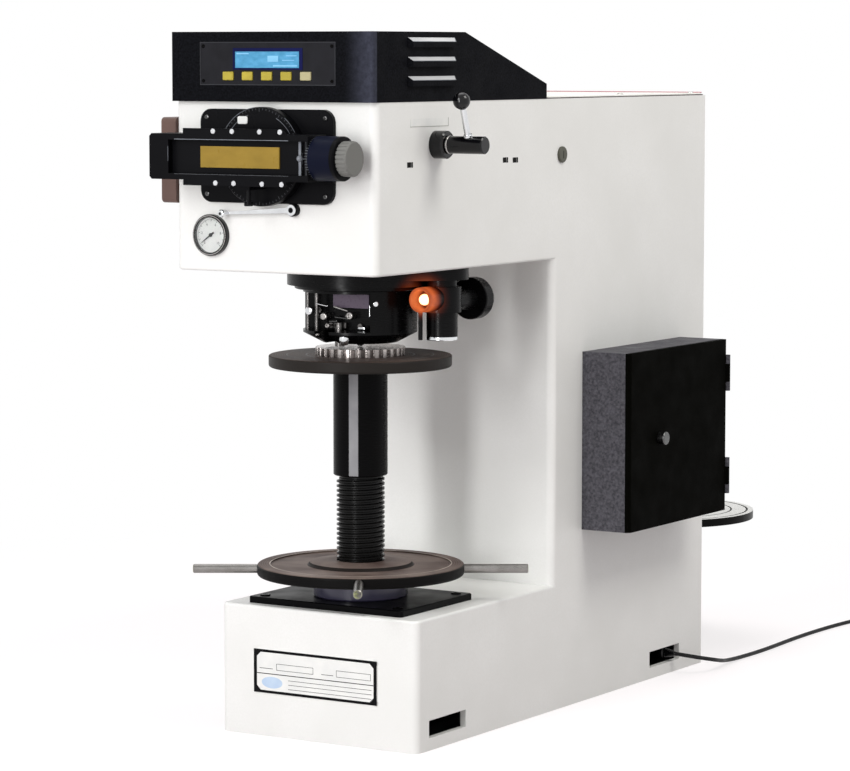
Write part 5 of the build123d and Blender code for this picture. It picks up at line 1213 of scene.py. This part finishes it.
class Assembly:
    """A sub-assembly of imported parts, each with its finish."""

    wears: ClassVar[tuple[tuple[Finish, str], ...]] = ()

    def dress(self) -> None:
        """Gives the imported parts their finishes, slot by slot."""
        for finish, names in self.wears:
            for name in names.split():
                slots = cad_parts[name].data.materials
                for index in range(len(slots)):
                    slots[index] = finish.material()
                if not slots:
                    slots.append(finish.material())
                LOG.info("part %s wears %s", name, finish.name)

    def build(self) -> None:
        """Dresses the parts."""
        self.dress()


@dataclass
class Casing(Assembly):
    """White sheet-metal casing: base, column and head, with seams, covers, painted shade in its holes and small
    fasteners.
    """

    wears: ClassVar[tuple] = (
        (WHITE_CASING, "base_casing column_casing head_casing"),
        (WHITE_COVER, "top_cover rear_cover"),
        (GREY_PLASTIC, "side_plug"),
        (IRON, "lever_mounts lifting_motor main_lever"),
        (STEEL, "lifting_rod thrust_rod"),
        (PAN_STEEL, "weight_hanger"),
    )
    half: float = 132.0
    top: float = 721.0
    lid_middle: float = 396.5
    holes: tuple[Flat, ...] = ((-103.9, 652.8), (100.0, 652.8), (122.2, 652.2))
    hole_size: float = 5.9
    collar: Flat = (2.9, 4.4)
    plug_place: Point = (135.0, 228.8, 655.8)
    legend_place: Flat = (-64.0, 698.5)

    def build_lid_seal(self) -> None:
        """Runs the dark seal under the rear lid and the dusty pink trim along its far edge."""
        outer, inner = (rounded(*size, 3, (0, self.lid_middle), 4) for size in ((256.6, 399.6), (252.0, 395.0)))
        seal = Forming("lid_seal_strip", SEAL_DARK)
        seal.framed(outer, inner, Facing.UP.place(0, 0, self.top), 1.2, -0.1).done(Body.FRAME)
        trim = Forming("lid_edge_trim", TRIM_PINK)
        rows = [(1.8, 398.0, -126.6, self.lid_middle), (252.0, 1.8, 0, 594.6)]
        trim.plates(rows, Facing.UP.place(0, 0, self.top + 3), 1.1, -0.2).done(Body.FRAME, bevel=0.3)

    def build_hole_shade(self) -> None:
        """Paints shade into the three small holes beside the lever with dark plates sunk in them, and adds a thin dark
        collar left and right of each.
        """
        shade_plates = Forming("side_hole_painted_shade", HOLE_DARK)
        place = Facing.RIGHT.place(self.half, 0, 0)
        size, (width, gap) = self.hole_size, self.collar
        for along, height in self.holes:
            shade_plates.plates([(size, size, along, height)], place, -0.5, -3.6)
            shade_plates.plates([(width, size, along + side, height) for side in (-gap, gap)], place, 0.2, -0.02)
        shade_plates.done(Body.FRAME, bevel=0.3)
        # A dark slot on the side plug, painted shade.
        slot = Forming("side_plug_painted_slot_shade", HOLE_DARK)
        slot.raised(rectangle(1.2, 9.0), Facing.RIGHT.place(*self.plug_place), 0.1, 0.01).done(Body.FRAME)

    def build_side_label(self) -> None:
        """Sticks the bare strip beside the load lever."""
        place = Facing.RIGHT.place(self.half, 0, 0)
        along, height = self.legend_place
        strip = Forming("lever_legend_strip", LABEL_FIELD)
        strip.plates([(78, 8.4, along, height)], place, 0.25).done(Body.FRAME)
        edge = Forming("lever_legend_edge", LABEL_EDGE)
        edge.plates([(79, 0.7, along, height - 4.6), (0.7, 9.4, along + 39.6, height)], place, 0.3).done(Body.FRAME)

    def build(self) -> None:
        """Dresses the casing and adds its seals, screws and strip."""
        self.dress()
        self.build_lid_seal()
        spots = [(x, y, self.top + 3) for x in (-118, 118) for y in (212, 396, 580)]
        screws("top_cover_screws", Body.FRAME, Facing.UP, spots, 3.4, STEEL, 1.3)
        self.build_side_label()
        self.build_hole_shade()


@dataclass
class DisplayBox(Assembly):
    """Black display box on the head: film panel, lit display, five keys and cooling louvres."""

    wears: ClassVar[tuple] = (
        (HOOD_COAT, "display_case"),
        (PANEL_FILM, "display_panel"),
        (DISPLAY_BLUE, "lcd_window"),
        (KEY_YELLOW, "key_1 key_2 key_3 key_4"),
        (KEY_PALE, "key_5"),
    )
    front: float = -179.0
    recess: float = 0.8
    panel_x: float = -4.7
    panel_z: float = 762.4
    panel_size: Flat = (179.0, 47.6)
    display_z: float = 766.6
    display_size: Flat = (85.0, 18.4)
    louvre_tops: tuple[float, ...] = (791.0, 770.0, 749.0)
    louvre_middle: float = -61.0
    louvre_length: float = 98.0
    louvre_out: float = 5.0
    louvre_end: float = 4.5
    case_side: float = 132.5

    def build_display(self) -> None:
        """Frames the display with its dark blue rim and draws the pale, wordless bars of its field lines."""
        place = Facing.FRONT.place(self.panel_x, self.front + self.recess, self.display_z)
        width, height = self.display_size
        outer = rectangle(width + 6.5, height + 5.0, (1.0, 0.9))
        rim = Forming("display_rim", RIM_BLUE)
        rim.framed(outer, rectangle(width - 0.6, height - 0.6), place, 0.5).done(Body.FRAME)
        rows = [(16, 1.5, -32, 6.6), (14, 6.5, 8, 1.0), (14, 0.9, 32, 4.2), (16, 0.9, 28, -0.6), (32, 1.6, 24, -6.6)]
        Forming("display_field_bars", READOUT_PALE).plates(rows, place, 0.3).done(Body.FRAME)

    def build_louvre_lips(self) -> None:
        """Lays a painted highlight as a bright lip over the slope of each pressed louvre, and grey ones down its rear
        corner and along its foot.
        """
        lips = Forming("louvre_painted_highlight_lips", LIP_BRIGHT)
        corners = Forming("louvre_painted_highlight_corners", EDGE_GREY)
        share = math.sqrt(0.5)
        slope = Matrix(((0, -share, share), (1, 0, 0), (0, share, share))).to_4x4()
        low, high = self.louvre_length / 2 - self.louvre_end, self.louvre_length / 2 - 0.4
        for top in self.louvre_tops:
            edge = Vector((self.case_side + self.louvre_out, self.louvre_middle, top - self.louvre_out)) * MM
            place = Matrix.Translation(edge) @ slope @ MILLIMETRES
            lips.raised([(-low, 0.9), (low, 0.9), (high, 6.5), (-high, 6.5)], place, 0.15)
            corners.raised([(low - 1.2, 0.1), (low, 0.1), (high + 0.2, 6.6), (high - 0.8, 6.6)], place, 0.22)
            corners.raised(rectangle(2 * low, 0.8, (0, 0.45)), place, 0.12)
        lips.done(Body.FRAME)
        corners.done(Body.FRAME)

    def build_panel_edge(self) -> None:
        """Draws the panel's thin printed border and its corner screws."""
        width, height = self.panel_size
        outer, inner = (rectangle(width - less, height - less) for less in (1.0, 2.2))
        place = Facing.FRONT.place(self.panel_x, self.front + self.recess, self.panel_z)
        Forming("panel_border", PANEL_GREY).framed(outer, inner, place, 0.25).done(Body.FRAME)
        spots = [
            (self.panel_x + side * (width / 2 - 5), self.front + 0.75, self.panel_z + rise * (height / 2 - 5))
            for side in (-1, 1)
            for rise in (-1, 1)
        ]
        screws("panel_screws", Body.FRAME, Facing.FRONT, spots, 2.0, BLACKED_SCREW, 0.9)

    def build(self) -> None:
        """Dresses the box and adds its rim, field bars, border and the louvres' painted highlights."""
        self.dress()
        self.build_display()
        self.build_panel_edge()
        self.build_louvre_lips()


@dataclass
class ScreenHead(Assembly):
    """Measuring screen: projector plate and ring, housing with the amber screen, and micrometer drum."""

    wears: ClassVar[tuple] = (
        (BLACK_ENAMEL, "projector_plate screen_ring screen_housing ring_clamp"),
        (SCREEN_AMBER, "screen_glass"),
        (DRUM_BANDS, "micrometer_drum"),
        (EDGE_GREY, "measuring_index"),
        (CHROME, "focus_lever"),
    )
    axis_x: float = -7.0
    axis_z: float = 661.7
    plate_face: float = -178.0
    ring_face: float = -190.0
    housing_face: float = -226.0
    strip_middle: float = 28.0
    tick_radius: float = 52.6
    drum_y: float = -205.0
    drum_radius: float = 24.0
    drum_left: float = 80.3
    lever_ball: Point = (-62.5, -182.6, 598.4)
    lever_ball_radius: float = 4.1

    def build_clamp_screws(self) -> None:
        """Sets four screws on the upper and four on the lower clamp strip."""
        rows = (("upper_strip_screws", 1, (-43, -18, 18, 44.5)), ("lower_strip_screws", -1, (-40, -16, 21, 46.5)))
        for name, side, places in rows:
            spots = [(x, self.housing_face, self.axis_z + side * self.strip_middle) for x in places]
            screws(name, Body.SCREEN_HEAD, Facing.FRONT, spots, 2.8, SCREW_PALE, 1.0)

    def build_outline(self) -> None:
        """Draws painted highlights on the screen recess's edges, bright on the top and left and faint on the bottom and
        right, and the index guide.
        """
        place = Facing.FRONT.place(0, self.housing_face, self.axis_z)
        for name, finish, rows in (
            ("screen_recess_highlight_lines", EDGE_GREY, [(150, 0.7, -20, 18.9), (0.5, 16, -103.4, 3.0)]),
            ("screen_recess_faint_highlight_lines", MARK_GREY, [(150, 0.4, -20, -18.9), (0.4, 36, 78.0, 0)]),
        ):
            Forming(name, finish).plates(rows, place, 0.06, -0.05).done(Body.SCREEN_HEAD)
        guide = Forming("index_guide_bars", EDGE_GREY)
        inset = Facing.FRONT.place(0, self.housing_face + 8.0, self.axis_z)
        guide.plates([(0.8, 27, 73.3, 0)], inset, 1.0).done(Body.SCREEN_HEAD)

    def build_lever_ball(self) -> None:
        """Turns the small ball on the focus lever."""
        ball = Forming("focus_lever_ball", BLACK_PLASTIC)
        turns = [math.pi * step / 16 for step in range(17)]
        ring = [(self.lever_ball_radius * math.sin(turn), self.lever_ball_radius * math.cos(turn)) for turn in turns]
        ball.lathe(ring, Facing.FRONT.place(*self.lever_ball), 32).done(Body.FOCUS)

    def build_ring_marks(self) -> None:
        """Marks the ring with its pale block, painted highlight arcs along its edges and its degree ticks, and sets the
        plate's screw heads.
        """
        place = Facing.FRONT.place(self.axis_x, self.ring_face, self.axis_z)
        block = Forming("ring_index_block", WHITE_PLASTIC)
        block.raised(rounded(13, 8.4, 2.0, (-21.5, 39.5)), place, 1.4).done(Body.SCREEN_HEAD, bevel=0.5)
        marks = [(5 * step, 2.0 if step % 6 else 3.6, 0.45) for step in range(72)]
        ticks = Forming("ring_degree_ticks", MARK_GREY)
        ticks.ticks(marks, self.tick_radius, place, 0.12).done(Body.SCREEN_HEAD)
        # Painted highlights: short arcs where the ring's edges catch the light.
        arcs = Forming("ring_edge_painted_highlights", EDGE_GREY)
        for radius, start, end in ((47.0, 108, 148), (53.4, 96, 150), (47.0, 32, 62), (53.4, 30, 52)):
            arcs.arc(radius, radius + 0.55, start, end, place, 0.12)
        arcs.done(Body.SCREEN_HEAD)
        plate = Forming("plate_screw_heads", DARK_STEEL)
        heads = Facing.FRONT.place(self.axis_x, self.plate_face, self.axis_z)
        for x, z in rectangle(156, 84):
            lift = heads @ Matrix.Translation((x, z, 0))
            plate.lathe([(2.6, -0.1), (2.6, 0.8), (2.0, 1.2), (1.1, 1.2), (1.1, 0.4)], lift, 20)
        plate.done(Body.FRAME)

    def build_drum_marks(self) -> None:
        """Engraves the drum's graduations along its left edge."""
        place = Facing.RIGHT.place(self.drum_left, self.drum_y, self.axis_z)
        flat = Matrix.Rotation(math.pi / 2, 4, "Y") @ Matrix.Rotation(math.pi / 2, 4, "Z")
        lift = Matrix.Translation((self.drum_radius - 0.09, 0, 1.0)) @ flat
        marks = Forming("drum_graduations", EDGE_GREY)
        for step in range(50):
            length = 3.4 if step % 5 else 6.0
            spin = place @ Matrix.Rotation(2 * math.pi * step / 50, 4, "Z") @ lift
            marks.raised(rectangle(0.4, length, (0, -length / 2)), spin, 0.1, 0)
        marks.done(Body.DRUM)

    def build(self) -> None:
        """Dresses the head and adds its screws, painted edge highlights and marks."""
        self.dress()
        self.build_clamp_screws()
        self.build_outline()
        self.build_lever_ball()
        self.build_ring_marks()
        self.build_drum_marks()


@dataclass
class LoadGauge(Assembly):
    """Round load gauge on the head's front: bezel, white face with its scale, pointer and glass."""

    wears: ClassVar[tuple] = ((BLACK_PLASTIC, "gauge_case"), (LABEL_INK, "gauge_pointer"), (PANE_GLASS, "gauge_glass"))
    centre: Flat = (-83.0, 573.9)
    face_y: float = -173.4
    front: float = -178.0
    scale_radius: float = 18.2
    first_turn: float = 225.0
    ring_radius: float = 21.8

    def build_face(self) -> None:
        """Lays the white face and prints its ticks and the plain numbers 0 to 10 round the scale."""
        place = Facing.FRONT.place(self.centre[0], self.face_y, self.centre[1])
        face = Forming("gauge_face_disc", WHITE_PLASTIC)
        face.raised(disc(self.scale_radius + 1.4, 64), place, 0.3).done(Body.FRAME)
        marks = [(self.first_turn - 5.4 * step, *((1.6, 0.28) if step % 5 else (3.0, 0.5))) for step in range(51)]
        ticks = Forming("gauge_scale_ticks", LABEL_INK)
        ticks.ticks(marks, self.scale_radius, place, 0.38, 0.3).done(Body.FRAME)
        for step in range(6):
            curve = bpy.data.curves.new(f"gauge_number_{2 * step}", "FONT")
            curve.body = str(2 * step)
            curve.size = 4.0
            curve.align_x = "CENTER"
            curve.align_y = "CENTER"
            curve.extrude = 0.02
            curve.materials.append(LABEL_INK.material())
            number = stand(curve.name, curve)
            spot = polar(self.scale_radius - 5.6, math.radians(self.first_turn - 54 * step))
            number.matrix_world = place @ Matrix.Translation((*spot, 0.36))
            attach(number, Body.FRAME.value)

    def build(self) -> None:
        """Dresses the gauge and adds its face, its numbers and the thin bright ring inside the bezel."""
        self.dress()
        self.build_face()
        place = Facing.FRONT.place(self.centre[0], self.front, self.centre[1])
        Forming("gauge_bezel_ring", STEEL).framed(*band(self.ring_radius, 0.8, 72), place, 0.25).done(Body.FRAME)


@dataclass
class LoadControls(Assembly):
    """Load lever on the right of the head and load selector on its left."""

    wears: ClassVar[tuple] = (
        (BLACK_PLASTIC, "lever_boss load_lever_ball selector_knob load_lever"),
        (BRONZE_ENAMEL, "selector_housing"),
    )
    boss_centre: Flat = (-50.0, 673.7)
    boss_end: float = 148.0
    rod_x: float = 175.0
    rod_lean: float = 19.4
    selector_centre: Flat = (-125.0, 655.5)
    selector_side: float = -152.5

    def build_lever(self) -> None:
        """Sleeves the lever's rod in chrome and rings its black hub."""
        rod = Forming("load_lever_rod_sleeve", CHROME)
        lean = math.radians(self.rod_lean)
        start, along = Vector((self.rod_x, *self.boss_centre)), Vector((0, -math.sin(lean), math.cos(lean)))
        for low, high, radius in ((9.9, 43.0, 3.45), (9.2, 12.4, 5.0)):
            rod.bar(start + along * low, start + along * high, radius, 28)
        rod.done(Body.LEVER)
        ring = Forming("load_lever_hub_ring", STEEL)
        place = Facing.RIGHT.place(self.boss_end, *self.boss_centre)
        ring.lathe([(9.75, 1.0), (10.1, 1.4), (10.1, 2.6), (9.75, 3.0)], place, 48, False).done(Body.LEVER)

    def build(self) -> None:
        """Dresses the controls and adds the lever's chrome and the selector's stops."""
        self.dress()
        self.build_lever()
        place = Facing.LEFT.place(self.selector_side, *self.selector_centre)
        marks = [(240 - 50 * step, 4.5, 1.0) for step in range(7)]
        Forming("selector_stop_ticks", LABEL_FIELD).ticks(marks, 27.75, place, 0.15).done(Body.FRAME)


@dataclass
class Turret(Assembly):
    """Swinging turret: flange, cut-away indenter block, objective, lamp and their small hardware."""

    wears: ClassVar[tuple] = (
        (TURRET_BLACK, "indenter_block turret_post"),
        (BESIDE_LAMP, "swing_plate objective_housing"),
        (WINDOW_METAL, "block_fittings"),
        (CHROME, "objective_lens indenter_holder"),
        (LAMP_BLACK, "lamp_housing"),
        (LAMP_GLOW, "lamp_bulb"),
    )
    block_radius: float = 65.0
    window_back: float = -20.0
    screw_radius: float = 60.0
    screw_turns: tuple[int, ...] = (205, 250, 290, 335)
    block_low: float = 459.0
    button_turn: float = -42.0
    button_z: float = 494.5

    def build_window_hardware(self) -> None:
        """Fits the small levers, nuts and bolt heads of the cut-away window."""
        back = self.window_back
        front = Facing.FRONT.place
        bright = Forming("window_bright_hardware", CHROME)
        bright.bar((-37, back - 15, 491.4), (-21, back - 15, 488.8), 0.9)
        bright.bar((29.6, back - 6, 491), (29.6, back - 6, 478), 0.8)
        plunger = [(3.4, 447.6), (4.6, 448.6), (5.6, 453.0), (5.8, 460.5), (5.2, 461.5)]
        bright.lathe(plunger, Facing.UP.place(13.6, -54.0, 0), 32)
        bolt = [(4.6, -0.4), (5.0, 0.6), (4.5, 2.0), (2.8, 2.8), (0.8, 3.0)]
        bright.lathe(bolt, front(-44.5, back - 17.5, 483.0), 24)
        bright.bar((-44.5, back, 483.0), (-44.5, back - 17.4, 483.0), 2.0)
        roller = front(20.5, back - 8, 464.6) @ Matrix.Diagonal((1.0, 0.5, 1.0, 1.0))
        bright.lathe([(4.2, -7.0), (5.6, -6.0), (5.6, 0.4), (4.6, 1.6), (2.0, 2.2)], roller, 32)
        steel = Forming("window_steel_hardware", STEEL)
        steel.bar((-15.6, back - 11, 488.5), (2.0, back - 9, 483.7), 1.1)
        ring = [(3.8, -8.0), (4.2, -0.4), (4.2, 0.9), (3.6, 1.4), (2.3, 1.4), (2.3, 0.2), (0.4, 0.2)]
        steel.lathe(ring, front(4.1, back - 8, 478.4), 28)
        nut = [(3.0, -0.6), (3.1, 0.8), (2.6, 1.4), (1.6, 1.4), (1.6, 0.3), (0.3, 0.3)]
        steel.lathe(nut, front(-22.0, back - 14, 466.6), 6)
        steel.bar((-22.0, back, 466.6), (-22.0, back - 14, 466.6), 1.5)
        wheel = [(4.2, -8.5), (4.6, -2.0), (4.6, 0.8), (3.6, 1.6), (1.4, 1.8)]
        steel.lathe(wheel, front(-30.5, back - 9, 476.4), 28)
        dark = Forming("window_dark_hardware", DARK_STEEL)
        dark.bar((-24, back - 7, 471.0), (-13, back - 7, 471.3), 1.6)
        dark.bar((-18, back - 5, 476.0), (0, back - 5, 474.6), 1.3)
        dark.bar((31, back - 4, 470), (40, back - 4, 468), 1.6)
        for piece in (bright, steel, dark):
            piece.done(Body.TURRET, bevel=0.2)

    def build(self) -> None:
        """Dresses the turret and adds its window hardware, side button and flange screws."""
        self.dress()
        self.build_window_hardware()
        button = Forming("block_side_button", CHROME)
        reaches = (self.block_radius - 1.0, self.block_radius + 2.2)
        base, tip = ((*polar(reach, math.radians(self.button_turn)), self.button_z) for reach in reaches)
        button.bar(base, tip, 3.0, 24).done(Body.TURRET, bevel=0.3)
        spots = [(*polar(self.screw_radius, math.radians(turn)), self.block_low) for turn in self.screw_turns]
        screws("block_rim_screws", Body.TURRET, Facing.DOWN, spots, 2.6, STEEL, 1.2)


@dataclass
class ElevatingScrew(Assembly):
    """Elevating screw with its cut thread, browned work table and fluted steel anvil."""

    wears: ClassVar[tuple] = ((TABLE_STEEL, "work_table"), (ANVIL_STEEL, "anvil"))
    thread_radius: float = 27.5
    root_radius: float = 24.9
    core_radius: float = 24.7
    neck_radius: float = 23.3
    pitch: float = 5.5
    bottom: float = 112.0
    shank_bottom: float = 295.0
    shank_radius: float = 31.0
    top: float = 419.0
    steps: int = 64
    # Turn and ends of the painted highlight strip on the shank.
    highlight_span: tuple[int, int] = (-82, -62)
    highlight_ends: Flat = (1.4, 2.4)
    table_top: float = 432.6
    table_rings: Flat = (62.0, 84.0)

    def build_shank(self) -> None:
        """Turns the plain shank above the thread and lays a painted highlight along it as a bright upright strip."""
        shank = Forming("elevating_screw_shank", BLACKED_SCREW)
        low, high, radius = self.shank_bottom, self.top, self.shank_radius
        profile = [
            (self.neck_radius, low - 0.4),
            (self.neck_radius, low),
            (radius - 1.2, low),
            (radius, low + 1.2),
            (radius, high - 2.0),
            (radius - 1.0, high - 1.0),
            (radius - 1.0, high),
        ]
        shank.lathe(profile, MILLIMETRES, 2 * self.steps)
        shank.done(Body.SCREW, smooth=35, replaces=("elevating_screw",))
        # Painted highlight: a bright upright strip on the side of the shank facing the front lamps.
        guide = Forming("screw_shank_painted_highlight", SHANK_HIGHLIGHT)
        above, below = self.highlight_ends
        place = Facing.UP.place(0, 0, low + above)
        guide.arc(radius - 0.3, radius + 0.12, *self.highlight_span, place, high - below - low - above, 0)
        guide.done(Body.SCREW, smooth=35)

    def build_thread(self) -> None:
        """Winds the trapezoid thread round its core."""
        screw = Forming("elevating_screw_cut", THREAD_STEEL)
        high = self.shank_bottom
        core = [
            (self.core_radius, self.bottom),
            (self.core_radius, high - 3.0),
            (self.neck_radius, high - 2.6),
            (self.neck_radius, high - 0.2),
        ]
        screw.lathe(core, MILLIMETRES, self.steps)
        root, crest = self.root_radius, self.thread_radius
        section = [(root, 0.0), (crest, 1.0), (crest, 2.9), (root, 3.9)]
        rows = []
        for step in range(int((high - self.bottom - 5.2) / self.pitch * self.steps) + 1):
            turn, lift = 2 * math.pi * step / self.steps, self.bottom + self.pitch * step / self.steps
            rows.append([(*polar(radius, turn), lift + height) for radius, height in section])
        screw.skin(rows, MILLIMETRES, around=False)
        screw.done(Body.SCREW, smooth=35, replaces=("elevating_screw",))

    def build(self) -> None:
        """Dresses table and anvil, cuts the thread and turns the worn rings in the table's face."""
        self.dress()
        self.build_shank()
        self.build_thread()
        ring = Forming("table_turned_rings", MARK_GREY)
        for radius in self.table_rings:
            ring.framed(*band(radius, 0.8, 96), Facing.UP.place(0, 0, self.table_top), 0.12, 0.01)
        ring.done(Body.SCREW)


@dataclass
class Handwheel(Assembly):
    """Handwheel with its four rods over the flange plate and bearing housing."""

    wears: ClassVar[tuple] = (
        (WHEEL_STEEL, "handwheel"),
        (ROD_STEEL, "handwheel_rods"),
        (FLANGE_ENAMEL, "base_flange"),
        (BEARING_ENAMEL, "bearing_housing"),
    )
    top: float = 193.0
    groove_radius: float = 104.6
    rod_reach: float = 191.8
    tip_radius: float = 4.5
    tip_length: float = 1.2
    rod_height: float = 186.5
    first_turn: float = 31.9
    flange_top: float = 156.5
    bolt_spacing: Flat = (179.0, 125.0)

    def build_rod_tips(self) -> None:
        """Caps each rod's end with its pale greenish plated tip."""
        tips = Forming("handwheel_rod_tips", ROD_TIP)
        for quarter in range(4):
            turn = math.radians(self.first_turn + 90 * quarter)
            reaches = (self.rod_reach - self.tip_length, self.rod_reach)
            start, end = ((*polar(reach, turn), self.rod_height) for reach in reaches)
            tips.bar(start, end, self.tip_radius, 28)
        tips.done(Body.WHEEL)

    def build_flange_bolts(self) -> None:
        """Sinks the four socket-head bolts of the flange plate."""
        bolts = Forming("flange_socket_bolts", BLACKED_SCREW)
        head = [(6.0, -0.1), (6.0, 0.9), (5.4, 1.4), (3.0, 1.4), (3.0, 0.2), (0.2, 0.2)]
        for x, y in rectangle(*self.bolt_spacing):
            bolts.lathe(head, Facing.UP.place(x, y, self.flange_top), 24)
        bolts.done(Body.FRAME)

    def build(self) -> None:
        """Dresses the wheel and adds the pale groove inside its rim, rod tips and flange bolts."""
        self.dress()
        groove = Forming("wheel_bright_groove", GROOVE_PALE)
        place = Facing.UP.place(0, 0, self.top)
        groove.framed(*band(self.groove_radius, 1.3, 128), place, 0.12, 0.01).done(Body.WHEEL)
        self.build_rod_tips()
        self.build_flange_bolts()


class Cabinet(Assembly):
    """Storage cabinet on the column's right side."""

    wears: ClassVar[tuple] = (
        (CABINET_COAT, "cabinet_box"),
        (DOOR_COAT, "cabinet_door"),
        (DARK_STEEL, "door_knob"),
    )


@dataclass
class NamePlate(Assembly):
    """Name plate on the base's front, with blank fields only."""

    wears: ClassVar[tuple] = ((LABEL_FIELD, "nameplate"),)
    centre: Flat = (-2.8, 74.9)
    face: float = -91.5
    size: Flat = (166.4, 50.3)

    def build(self) -> None:
        """Dresses the plate and prints its border, its blank boxes, rules and bars, and the pale oval."""
        self.dress()
        place = Facing.FRONT.place(self.centre[0], self.face, self.centre[1])
        width, height = self.size
        outer = rectangle(width - 0.4, height - 0.4, notch=0.4)
        inner = rectangle(width - 8.8, height - 6.6, notch=5.2)
        Forming("nameplate_border", LABEL_INK).framed(outer, inner, place, 0.16).done(Body.FRAME)
        ink = Forming("nameplate_blank_fields", LABEL_INK)
        for x, wide in ((-27, 50), (52, 46)):
            ink.framed(rectangle(wide, 7.6, (x, 6.0)), rectangle(wide - 0.9, 6.7, (x, 6.0)), place, 0.12)
        rules = [(157.0, 0.9, 0, -2.6), (18, 0.6, -66, 3.4), (16, 0.6, 17, 3.4)]
        rules += [(112.0, 0.5, 20, z) for z in (-8.2, -13.2, -18.2)]
        ink.plates(rules, place, 0.12).done(Body.FRAME)
        points = [(x * 1.9 - 58, y * 0.9 - 12.4) for x, y in disc(7.4, 48)]
        Forming("nameplate_blank_oval", LABEL_BLUE).raised(points, place, 0.12).done(Body.FRAME)


def main() -> None:
    """Builds every sub-assembly in order."""
    logging.basicConfig(level=logging.INFO, format="%(message)s")
    bpy.context.scene.view_settings.view_transform = "Standard"
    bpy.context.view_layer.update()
    kinds = (Studio, MainsLead, Casing, DisplayBox, ScreenHead, LoadGauge, LoadControls, Turret, ElevatingScrew)
    for kind in (*kinds, Handwheel, Cabinet, NamePlate):
        kind().build()
        LOG.info("built %s", kind.__name__)
    bpy.context.view_layer.update()


if __name__ == "__main__":
    main()
